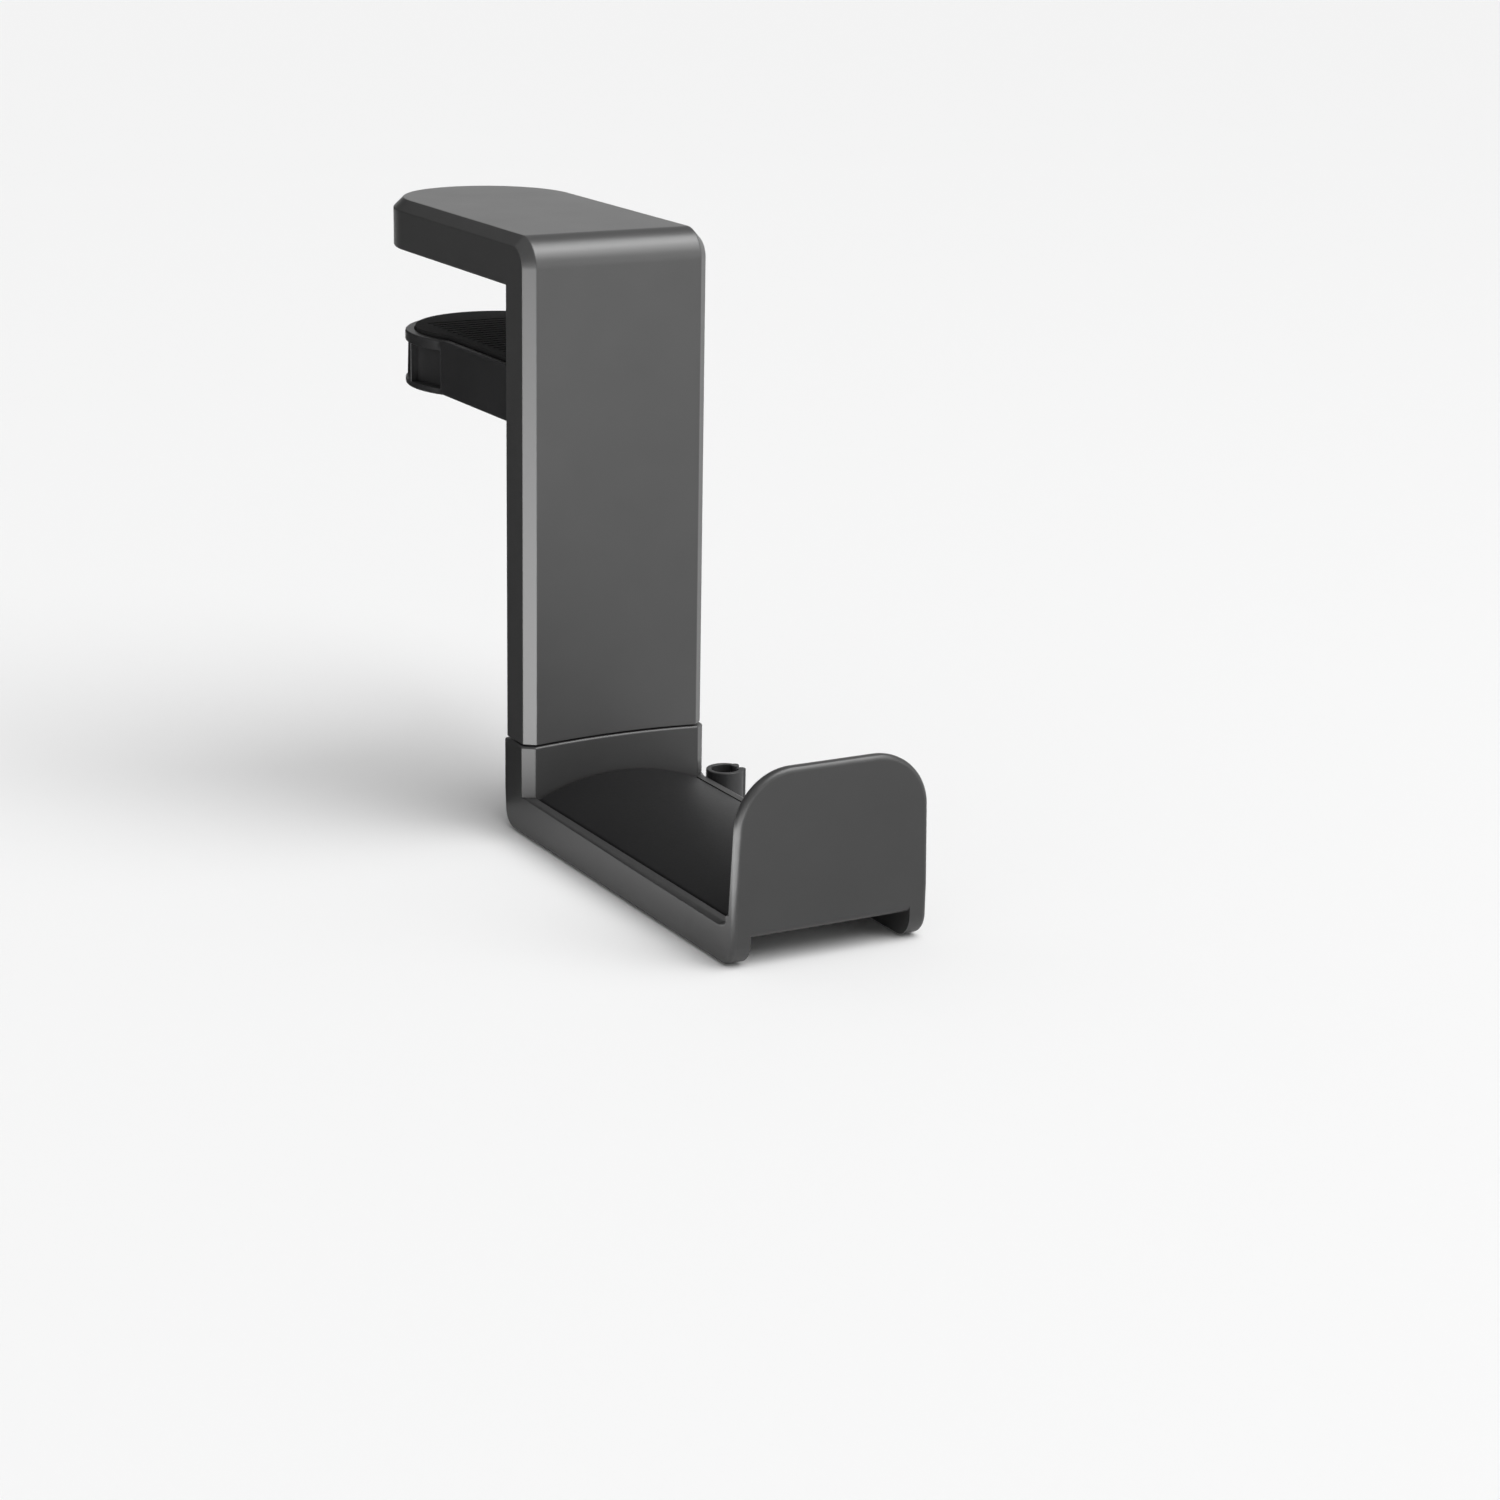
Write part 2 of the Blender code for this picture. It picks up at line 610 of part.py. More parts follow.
def make_guides(materials):
    """Two rods, each with its bush and its spring."""
    for side, x in (("left", -ROD_SPACING / 2), ("right", ROD_SPACING / 2)):
        low = BLOCK_TOP_Z - ROD_SOCKET + GAP
        high = ROD_SEAT_Z + ROD_SOCKET - GAP
        rod = turned([(ROD_RADIUS, low), (ROD_RADIUS, high)], SCREW_SEGMENTS)
        finish_mesh(moved(rod, (x, AXIS_Y, 0)), f"guide_rod_{side}", materials["steel"])
        inner = ROD_RADIUS + GAP
        bush = tube(BUSH_RADIUS, inner, CARRIAGE_BOTTOM_Z, CARRIAGE_TOP_Z, BORE_SEGMENTS)
        finish_mesh(moved(bush, (x, AXIS_Y, 0)), f"bush_{side}", materials["bronze"])
        finish_mesh(
            coil(
                (x, AXIS_Y),
                inner + SPRING_WIRE / 2,
                BLOCK_TOP_Z + GAP + SPRING_WIRE / 2,
                CARRIAGE_BOTTOM_Z - GAP - SPRING_WIRE / 2,
            ),
            f"jaw_spring_{side}",
            materials["steel"],
        )


def coil(centre, radius, low, high):
    """A round-wire compression spring: a helix with a closed end."""
    steps = SPRING_TURNS * COIL_STEPS_PER_TURN
    climb = (high - low) / (2 * pi * SPRING_TURNS)
    slope = hypot(radius, climb)
    rings = []
    for i in range(steps + 1):
        angle = 2 * pi * i / COIL_STEPS_PER_TURN
        outward = Vector((cos(angle), sin(angle), 0.0))
        along = Vector((-sin(angle) * radius, cos(angle) * radius, climb)) / slope
        upward = outward.cross(along)
        spot = Vector((centre[0], centre[1], low + climb * angle)) + outward * radius
        spokes = [2 * pi * k / COIL_SIDES for k in range(COIL_SIDES)]
        rings.append(
            [spot + SPRING_WIRE / 2 * (outward * cos(a) + upward * sin(a)) for a in spokes]
        )
    return loft(rings)


# ---- jaw --------------------------------------------------------------------------------------
def make_jaw_carriage(materials):
    """Runs on the guide rods inside the column; its tongue comes out through the slot."""
    half = COVER_SCREW_X - BOSS_RADIUS - GAP
    carriage = finish_mesh(
        box(
            (-half, CAVITY_FRONT_Y + GAP, CARRIAGE_BOTTOM_Z),
            (half, COVER_Y - GAP, CARRIAGE_TOP_Z),
        ),
        "jaw_carriage",
        materials["plastic"],
    )
    tongue = box(
        (-TONGUE_WIDTH / 2, COVER_Y - 4 * GAP, TONGUE_BOTTOM_Z),
        (TONGUE_WIDTH / 2, REAR_Y + TONGUE_REACH, TONGUE_TOP_Z),
    )
    join(carriage, tongue)
    for x in (-ROD_SPACING / 2, ROD_SPACING / 2):
        low = CARRIAGE_BOTTOM_Z - OVERCUT
        high = CARRIAGE_TOP_Z + OVERCUT
        cut(carriage, round_bar(BUSH_RADIUS + GAP, low, high, BORE_SEGMENTS, (x, AXIS_Y, 0)))
    for y in JAW_SCREW_YS:
        low = TONGUE_BOTTOM_Z - OVERCUT
        high = TONGUE_TOP_Z - OVERCUT
        cut(carriage, round_bar(SCREW_RADIUS + GAP, low, high, SCREW_SEGMENTS, (0, y, 0)))
    return carriage


def make_jaw_arm(materials):
    """The jaw itself: an arm with a round end whose edge is cored out between ribs."""
    near = REAR_Y + GAP
    centre_y = REAR_Y + JAW_DISC_CENTRE
    outline = tongue_outline(HALF_JAW, near, centre_y, JAW_DISC_RADIUS)
    arm = finish_mesh(prism(outline, "Z", JAW_BOTTOM_Z, JAW_TOP_Z), "jaw_arm", materials["plastic"])
    inset = PAD_MARGIN - GAP
    seat_y = near + PAD_SETBACK - GAP
    seat = tongue_outline(HALF_JAW - inset, seat_y, centre_y, JAW_DISC_RADIUS - inset)
    cut(arm, prism(seat, "Z", JAW_TOP_Z - PAD_SEAT, JAW_TOP_Z + OVERCUT))
    tongue = box(
        (-TONGUE_WIDTH / 2 - GAP, near - OVERCUT, TONGUE_BOTTOM_Z - GAP),
        (TONGUE_WIDTH / 2 + GAP, REAR_Y + TONGUE_REACH + GAP, TONGUE_TOP_Z + GAP),
    )
    cut(arm, tongue)
    rib_angle = 2 * pi / JAW_RIBS
    rib_half = JAW_RIB_WIDTH / 2 / JAW_DISC_RADIUS
    first = -acos(HALF_JAW / JAW_DISC_RADIUS) + rib_half
    count = int((pi - 2 * first) / rib_angle)
    spread = (pi - 2 * first) / count
    low = JAW_BOTTOM_Z + JAW_RIM
    high = JAW_TOP_Z - PAD_SEAT - JAW_RIM
    for i in range(count):
        start = first + spread * i + rib_half
        end = first + spread * (i + 1) - rib_half
        inner = JAW_DISC_RADIUS - JAW_POCKET_DEPTH
        pocket = arc((0, centre_y), inner, start, end, CORNER_STEPS)
        pocket += arc((0, centre_y), JAW_DISC_RADIUS + OVERCUT, end, start, CORNER_STEPS)
        cut(arm, prism(pocket, "Z", low, high))
    for i, y in enumerate(JAW_SCREW_YS):
        place = (0, y, JAW_BOTTOM_Z + GAP / 2)
        hole = screw_hole(SCREW_HOLE_DEPTH, SCREW_HEAD_HEIGHT + 1.5 * GAP)
        cut(arm, moved(hole, (0, y, JAW_BOTTOM_Z), TURN_DOWN))
        add_screw(f"jaw_screw_{i + 1}", place, TURN_DOWN, materials["steel"])
    return arm


def make_jaw_pad(materials):
    centre_y = REAR_Y + JAW_DISC_CENTRE
    outline = tongue_outline(
        HALF_JAW - PAD_MARGIN, REAR_Y + GAP + PAD_SETBACK, centre_y, JAW_DISC_RADIUS - PAD_MARGIN
    )
    return finish_mesh(
        prism(outline, "Z", JAW_PAD_Z - PAD_THICKNESS, JAW_PAD_Z), "jaw_pad", materials["rubber"]
    )


# ---- pivot ------------------------------------------------------------------------------------
def make_pivot(materials):
    axis = (0, AXIS_Y, 0)
    nut_low = BLOCK_TOP_Z + 2 * GAP + WASHER_THICKNESS
    nut_high = nut_low + NUT_HEIGHT
    face_z = BOLT_HEAD_Z - BOLT_HEAD_HEIGHT
    profile = [
        (BOLT_HEAD_RADIUS * RECESS_FLOOR_SHARE, BOLT_HEAD_Z - BOLT_HEAD_HEIGHT * HEAD_EDGE_SHARE),
        (BOLT_HEAD_RADIUS * BOLT_RECESS_SHARE, face_z),
        (BOLT_HEAD_RADIUS * BOLT_FACE_SHARE, face_z),
        (BOLT_HEAD_RADIUS, BOLT_HEAD_Z - BOLT_HEAD_HEIGHT * BOLT_FACE_SHARE),
        (BOLT_HEAD_RADIUS, BOLT_HEAD_Z),
        (BOLT_RADIUS, BOLT_HEAD_Z),
        (BOLT_RADIUS, nut_high + 2 * GAP),
        (BOLT_RADIUS * BOLT_END_SHARE, nut_high + 4 * GAP),
    ]
    bolt = turned(profile, BOLT_SEGMENTS)
    finish_mesh(moved(bolt, axis), "pivot_bolt", materials["steel"])
    washer_low = BLOCK_TOP_Z + GAP
    washer_high = washer_low + WASHER_THICKNESS
    washer = tube(NUT_DEPTH / 2, BOLT_RADIUS + GAP, washer_low, washer_high, BOLT_SEGMENTS)
    finish_mesh(moved(washer, axis), "wave_washer", materials["steel"])
    nut = finish_mesh(
        box(
            (-NUT_WIDTH / 2, AXIS_Y - NUT_DEPTH / 2, nut_low),
            (NUT_WIDTH / 2, AXIS_Y + NUT_DEPTH / 2, nut_high),
        ),
        "pivot_nut",
        materials["steel"],
    )
    low = nut_low - OVERCUT
    high = nut_high + OVERCUT
    cut(nut, round_bar(BOLT_RADIUS + GAP, low, high, BORE_SEGMENTS, axis))
    disc_low = HOOK_TOP_Z - WASHER_THICKNESS
    disc = tube(FRICTION_DISC_RADIUS, BOLT_RADIUS + GAP, disc_low, HOOK_TOP_Z, DISC_SEGMENTS)
    finish_mesh(moved(disc, axis), "friction_disc", materials["plastic"])


# ---- hook -------------------------------------------------------------------------------------
def hook_profile():
    """Side outline (y, z) of the hook, from the foot of the upright round to the tray's floor."""
    lean = tan(PLATE_LEAN)
    top_y = PLATE_Y - lean * (PLATE_TOP_Z - WEB_Z)
    inner_top = (top_y + PLATE_THICKNESS, PLATE_TOP_Z)
    inner_foot_y = PLATE_Y - lean * (FLOOR_Z - WEB_Z) + PLATE_THICKNESS
    rear_centre = (HOOK_REAR_Y - REAR_CORNER_RADIUS, SKIRT_Z + REAR_CORNER_RADIUS)
    rear = arc(rear_centre, REAR_CORNER_RADIUS, 0.0, -pi / 2, CORNER_STEPS)
    front_centre = (PLATE_Y + FRONT_CORNER_RADIUS, SKIRT_Z + FRONT_CORNER_RADIUS)
    front = arc(front_centre, FRONT_CORNER_RADIUS, -pi / 2, -pi, CORNER_STEPS)
    fillet_centre = (inner_foot_y + PLATE_FILLET, FLOOR_Z + PLATE_FILLET)
    fillet = arc(fillet_centre, PLATE_FILLET, pi, 3 * pi / 2, CORNER_STEPS)
    top = [(HOOK_FRONT_Y, FLOOR_Z), (HOOK_FRONT_Y, HOOK_TOP_Z + OVERCUT)]
    top += [(HOOK_REAR_Y, HOOK_TOP_Z + OVERCUT)]
    return rear + front + [(PLATE_Y, WEB_Z), (top_y, PLATE_TOP_Z), inner_top] + fillet + top


def plate_corner(side):
    """Removes one top corner of the front plate: outside its tapered side and its round corner."""
    radius = PLATE_CORNER_RADIUS
    centre_z = PLATE_TOP_Z - radius
    foot_z = FLOOR_Z + PLATE_FILLET
    side_x = HALF_HOOK - tan(PLATE_SIDE_TAPER) * (centre_z - foot_z)
    centre = (side_x - radius / cos(PLATE_SIDE_TAPER), centre_z)
    curve = arc(centre, radius, PLATE_SIDE_TAPER, pi / 2, PLATE_CORNER_STEPS)
    far = HALF_HOOK + OVERCUT
    outline = [(far, foot_z), (HALF_HOOK, foot_z)] + curve
    outline += [(centre[0], PLATE_TOP_Z + OVERCUT), (far, PLATE_TOP_Z + OVERCUT)]
    outline = [(side * x, z) for x, z in outline]
    near = PLATE_Y + PLATE_THICKNESS + PLATE_FILLET + OVERCUT
    return prism(outline, "Y", PLATE_Y - PLATE_HEIGHT * tan(PLATE_LEAN) - OVERCUT, near)


def saddle_arch(half_width, base_z, rise):
    """Crowned outline (x, z): a flat base and a round top of the given rise."""
    radius = (half_width**2 + rise**2) / (2 * rise)
    half_angle = acos((radius - rise) / radius)
    centre = (0.0, FLOOR_Z + rise - radius)
    crown = arc(centre, radius, pi / 2 - half_angle, pi / 2 + half_angle, ROUND_STEPS)
    return [(half_width, base_z)] + crown + [(-half_width, base_z)]


def make_hook_frame(materials):
    hook = finish_mesh(
        prism(hook_profile(), "X", -HALF_HOOK, HALF_HOOK), "hook_frame", materials["hook"]
    )
    for side in (-1, 1):
        cut(hook, plate_corner(side))
        chamfer = [
            (side * (HALF_HOOK - HOOK_CHAMFER - OVERCUT), HOOK_FRONT_Y - OVERCUT),
            (side * (HALF_HOOK + OVERCUT), HOOK_FRONT_Y - OVERCUT),
            (side * (HALF_HOOK + OVERCUT), HOOK_FRONT_Y + HOOK_CHAMFER + OVERCUT),
        ]
        cut(hook, prism(chamfer, "Z", FLOOR_Z + GAP / 2, HOOK_TOP_Z + 2 * OVERCUT))
    half_channel = HALF_HOOK - SKIRT_WALL
    channel_front = PLATE_Y - OVERCUT
    upright_inner = HOOK_REAR_Y - FRONT_WALL
    upright_roof = HOOK_TOP_Z - UPRIGHT_TOP_WALL
    channel = [
        (channel_front, SKIRT_Z - OVERCUT),
        (upright_inner, SKIRT_Z - OVERCUT),
        (upright_inner, upright_roof),
        (HOOK_FRONT_Y + FRONT_WALL, upright_roof),
        (HOOK_FRONT_Y + FRONT_WALL, WEB_Z),
        (channel_front, WEB_Z),
    ]
    cut(hook, prism(channel, "X", -half_channel, half_channel))
    cut(hook, seam_dome(-GAP, below=False))
    bore = BOLT_RADIUS + GAP
    recess = FRICTION_DISC_RADIUS + GAP
    recess_low = HOOK_TOP_Z - WASHER_THICKNESS - GAP
    high = HOOK_TOP_Z + 2 * OVERCUT
    profile = [(bore, WEB_Z), (bore, recess_low), (recess, recess_low), (recess, high)]
    cut(hook, moved(turned(profile, DISC_SEGMENTS), (0, AXIS_Y, 0)))
    seat = HALF_SADDLE + GAP
    saddle_far = PLATE_Y + PLATE_THICKNESS + PLATE_FILLET
    cut(
        hook,
        box(
            (-seat, saddle_far, FLOOR_Z - SADDLE_SEAT),
            (seat, HOOK_FRONT_Y - GAP / 2, FLOOR_Z + OVERCUT),
        ),
    )
    for i, y in enumerate(SADDLE_SCREW_YS):
        low = WEB_Z - OVERCUT
        cut(hook, round_bar(SCREW_RADIUS + GAP, low, FLOOR_Z, SCREW_SEGMENTS, (0, y, 0)))
        add_screw(
            f"saddle_screw_{i + 1}",
            (0, y, WEB_Z - GAP - SCREW_HEAD_HEIGHT),
            TURN_DOWN,
            materials["steel"],
            length=SADDLE_SCREW_LENGTH,
        )
    half_stem = CLIP_STEM / 2 + GAP
    stem = box(
        (half_channel - OVERCUT, CLIP_STEM_Y, CLIP_STEM_Z - half_stem),
        (HALF_HOOK + OVERCUT, CLIP_STEM_Y + 2 * half_stem, CLIP_STEM_Z + half_stem),
    )
    cut(hook, stem)
    return hook


def make_saddle(materials):
    """The pad on the tray's floor that the headband lies on, held by two screws from below."""
    base = FLOOR_Z - SADDLE_SEAT + GAP
    near = HOOK_FRONT_Y - 1.5 * GAP
    far = PLATE_Y + PLATE_THICKNESS + PLATE_FILLET + GAP
    saddle = finish_mesh(
        prism(saddle_arch(HALF_SADDLE, base, SADDLE_CROWN), "Y", far, near),
        "saddle_pad",
        materials["rubber"],
    )
    for y in SADDLE_SCREW_YS:
        low = base - OVERCUT
        high = base + SADDLE_HOLE_DEPTH
        cut(saddle, round_bar(SCREW_RADIUS + GAP, low, high, SCREW_SEGMENTS, (0, y, 0)))
    return saddle


def make_cable_clip(materials):
    """An open ring beside the hook that a cable snaps into, with a stem through the side wall."""
    inner = CLIP_OUTER_RADIUS - CLIP_WALL
    middle = CLIP_OUTER_RADIUS - CLIP_WALL / 2
    start = CLIP_OPENING / 2
    end = 2 * pi - CLIP_OPENING / 2
    outline = arc((0, 0), CLIP_OUTER_RADIUS, start, end, CLIP_STEPS)
    outline += arc((0, 0), inner, end, start, CLIP_STEPS)
    low = CLIP_TOP_Z - CLIP_HEIGHT
    clip = finish_mesh(
        moved(prism(outline, "Z", low, CLIP_TOP_Z), (CLIP_X, CLIP_Y, 0)),
        "cable_clip",
        materials["plastic"],
    )
    for angle in (start, end):
        place = (CLIP_X + middle * cos(angle), CLIP_Y + middle * sin(angle), 0)
        join(clip, round_bar(CLIP_BEAD_RADIUS, low, CLIP_TOP_Z, SCREW_SEGMENTS, place))
    near = CLIP_STEM_Y + GAP
    stem = box(
        (HALF_HOOK - SKIRT_WALL + GAP, near, CLIP_STEM_Z - CLIP_STEM / 2),
        (CLIP_X - middle, near + CLIP_STEM, CLIP_STEM_Z + CLIP_STEM / 2),
    )
    join(clip, stem)
    return clip


def hang_on_empty(name, place, prefixes):
    """Parent a moving group, chosen by the start of its names, to an empty on its joint's axis."""
    pivot = bpy.data.objects.new(name, None)
    pivot.location = place
    bpy.context.collection.objects.link(pivot)
    for obj in bpy.data.objects:
        if obj is not pivot and obj.name.startswith(prefixes):
            obj.parent = pivot
            obj.matrix_parent_inverse = Matrix.Translation(-Vector(place))


def main():
    for obj in list(bpy.data.objects):
        bpy.data.objects.remove(obj, do_unlink=True)
    materials = make_materials()
    make_clamp_shell(materials)
    make_arm_plate(materials)
    make_top_pad(materials)
    make_rear_cover(materials)
    make_base_block(materials)
    make_guides(materials)
    make_pivot(materials)
    make_jaw_carriage(materials)
    make_jaw_arm(materials)
    make_jaw_pad(materials)
    make_hook_frame(materials)
    make_saddle(materials)
    make_cable_clip(materials)
    jaw_pieces = ("jaw_arm", "jaw_carriage", "jaw_pad", "jaw_screw", "bush")
    hook_pieces = ("hook_frame", "saddle", "cable_clip", "friction_disc")
    hang_on_empty("slide_axis", (0, AXIS_Y, JAW_PAD_Z), jaw_pieces)
    hang_on_empty("swivel_axis", (0, AXIS_Y, SEAM_Z), hook_pieces)


main()
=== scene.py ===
"""Looks of a desk-clamp headphone hook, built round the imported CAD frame.

Metres, +Z up, in the frame of the CAD model: the desk top is z = 0, the user sits at -Y. Each
sub-assembly is a class that takes its places from the frame's boxes, builds finer meshes for the
surfaces that show, dresses them and sets them on their bodies.
"""

import json
import logging
from dataclasses import dataclass, field
from enum import Enum
from math import acos, ceil, cos, hypot, pi, radians, sin, sqrt, tan
from typing import Callable, Iterable, Sequence

import bmesh
import bpy
from mathutils import Matrix, Vector


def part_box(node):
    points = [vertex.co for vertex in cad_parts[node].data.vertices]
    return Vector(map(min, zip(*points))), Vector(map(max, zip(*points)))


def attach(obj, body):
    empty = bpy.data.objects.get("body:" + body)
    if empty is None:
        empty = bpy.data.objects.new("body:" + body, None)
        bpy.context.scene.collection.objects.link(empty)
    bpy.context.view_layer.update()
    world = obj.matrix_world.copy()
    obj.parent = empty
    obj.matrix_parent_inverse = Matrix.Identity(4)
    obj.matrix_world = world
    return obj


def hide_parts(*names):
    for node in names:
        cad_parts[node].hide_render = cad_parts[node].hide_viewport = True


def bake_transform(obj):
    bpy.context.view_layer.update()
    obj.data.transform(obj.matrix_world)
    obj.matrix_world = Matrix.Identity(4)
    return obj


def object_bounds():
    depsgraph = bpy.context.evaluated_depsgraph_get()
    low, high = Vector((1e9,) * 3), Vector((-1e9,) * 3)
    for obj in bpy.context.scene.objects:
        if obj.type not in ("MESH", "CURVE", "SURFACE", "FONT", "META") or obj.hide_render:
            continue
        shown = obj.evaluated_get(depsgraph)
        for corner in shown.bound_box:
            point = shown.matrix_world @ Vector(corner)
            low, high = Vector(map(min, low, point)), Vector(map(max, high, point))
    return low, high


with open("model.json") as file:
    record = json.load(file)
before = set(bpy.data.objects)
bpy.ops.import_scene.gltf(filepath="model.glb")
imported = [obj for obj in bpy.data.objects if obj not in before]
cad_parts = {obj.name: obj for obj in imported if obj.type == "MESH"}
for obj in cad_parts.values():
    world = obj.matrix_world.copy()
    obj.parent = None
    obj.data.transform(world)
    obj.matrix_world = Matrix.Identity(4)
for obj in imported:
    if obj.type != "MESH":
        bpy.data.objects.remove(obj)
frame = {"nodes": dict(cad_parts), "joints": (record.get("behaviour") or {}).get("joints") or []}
cad_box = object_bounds()

EDGE_MARK = "edge"
MERGE_DISTANCE = 1e-7
BOOLEAN_MERGE = 2e-6
COPLANAR = radians(0.05)
SHARP_ANGLE = radians(28.0)
SMOOTH_ANGLE = radians(40.0)
GAP = 0.0003
OVERCUT = 0.0010
ROUND_STEPS = 32
BOLT_STEPS = 48
FLAT_WEIGHT = 100
MIX_A, MIX_B = 6, 7
COVER_SCREWS = range(1, 7)
SCREW_SEAT = 0.00155
BOLT_SHOULDER = 0.00125
BLACK = (0.0, 0.0, 0.0)
WHITE = (1.0, 1.0, 1.0)
UP = (0.0, 0.0, 1.0)

Point = tuple[float, float]
Place = tuple[float, float, float]
Colour = tuple[float, float, float]
RadiusRule = Callable[[Vector, list[Vector]], float]
Placer = Callable[[float, float, bool, int], Vector]
log = logging.getLogger("hook")


class Body(str, Enum):
    """The CAD bodies that pieces ride on."""

    CLAMP = "clamp"
    JAW = "jaw"
    HOOK = "hook"


class Slot(str, Enum):
    """The record's material slots."""

    SHELL = "shell"
    HOOK = "hook"
    PLASTIC = "plastic"
    RUBBER = "rubber"
    SADDLE = "saddle"
    STEEL = "steel"
    BRONZE = "bronze"


class Axis(Enum):
    """The direction that an outline is extruded in."""

    X = "X"
    Y = "Y"
    Z = "Z"


class Operation(str, Enum):
    """What a helper solid does to a piece."""

    CUT = "DIFFERENCE"
    JOIN = "UNION"


# ---- node graphs ------------------------------------------------------------------------------
def math_node(operation: str, swapped: bool = False) -> Callable[..., "Wire"]:
    """Make a method of Wire that adds one Math node.

    Args:
        operation: the Math node's operation.
        swapped: whether the wire is the second operand, as it is with a number on its left.

    Returns:
        The method; its operand may be left out where the operation takes one value.
    """

    def method(self: "Wire", other: "Wire | float" = 0.0) -> "Wire":
        """Add the node and give its result."""
        first, second = (other, self) if swapped else (self, other)
        return self.graph.node("ShaderNodeMath", {"operation": operation}, {0: first, 1: second})

    return method


class Wire:
    """A node socket that takes part in arithmetic with other wires and with numbers."""

    def __init__(self, graph: "Graph", socket: bpy.types.NodeSocket) -> None:
        """Wrap a socket of the graph."""
        self.graph = graph
        self.socket = socket

    __add__ = math_node("ADD")
    __radd__ = math_node("ADD", swapped=True)
    __sub__ = math_node("SUBTRACT")
    __mul__ = math_node("MULTIPLY")
    __rmul__ = math_node("MULTIPLY", swapped=True)
    __truediv__ = math_node("DIVIDE")
    at_least = math_node("MAXIMUM")
    at_most = math_node("MINIMUM")
    sine = math_node("SINE")
    cosine = math_node("COSINE")
    root = math_node("SQRT")


class Graph:
    """A node tree that is filled one node at a time."""

    def __init__(self, tree: bpy.types.NodeTree) -> None:
        """Wrap an empty tree."""
        self.tree = tree

    def node(
        self, kind: str, settings: dict | None = None, inputs: dict | None = None, output: int | str = 0
    ) -> Wire:
        """Add a node.

        Args:
            kind: the node's type name.
            settings: node properties, set before its sockets; "stops" holds a ramp's stops.
            inputs: values or wires, keyed by socket index or name.
            output: the index or name of the output wanted.

        Returns:
            The wire from that output.
        """
        node = self.tree.nodes.new(kind)
        for name, value in (settings or {}).items():
            if name == "stops":
                self._set_stops(node.color_ramp, value)
            else:
                setattr(node, name, value)
        for key, value in (inputs or {}).items():
            if isinstance(value, Wire):
                self.tree.links.new(value.socket, node.inputs[key])
            elif isinstance(value, (list, tuple)) and value and isinstance(value[0], Wire):
                for wire in value:
                    self.tree.links.new(wire.socket, node.inputs[key])
            else:
                node.inputs[key].default_value = value
        return Wire(self, node.outputs[output])

    def same_node(self, wire: Wire, output: int | str) -> Wire:
        """Another output of the node that a wire comes from."""
        return Wire(self, wire.socket.node.outputs[output])

    @staticmethod
    def _set_stops(ramp: bpy.types.ColorRamp, stops: Sequence[tuple[float, float]]) -> None:
        """Set a ramp's first stops to grey levels."""
        while len(ramp.elements) < len(stops):
            ramp.elements.new(1.0)
        for element, (position, level) in zip(ramp.elements, stops):
            element.position = position
            element.color = (level, level, level, 1.0)


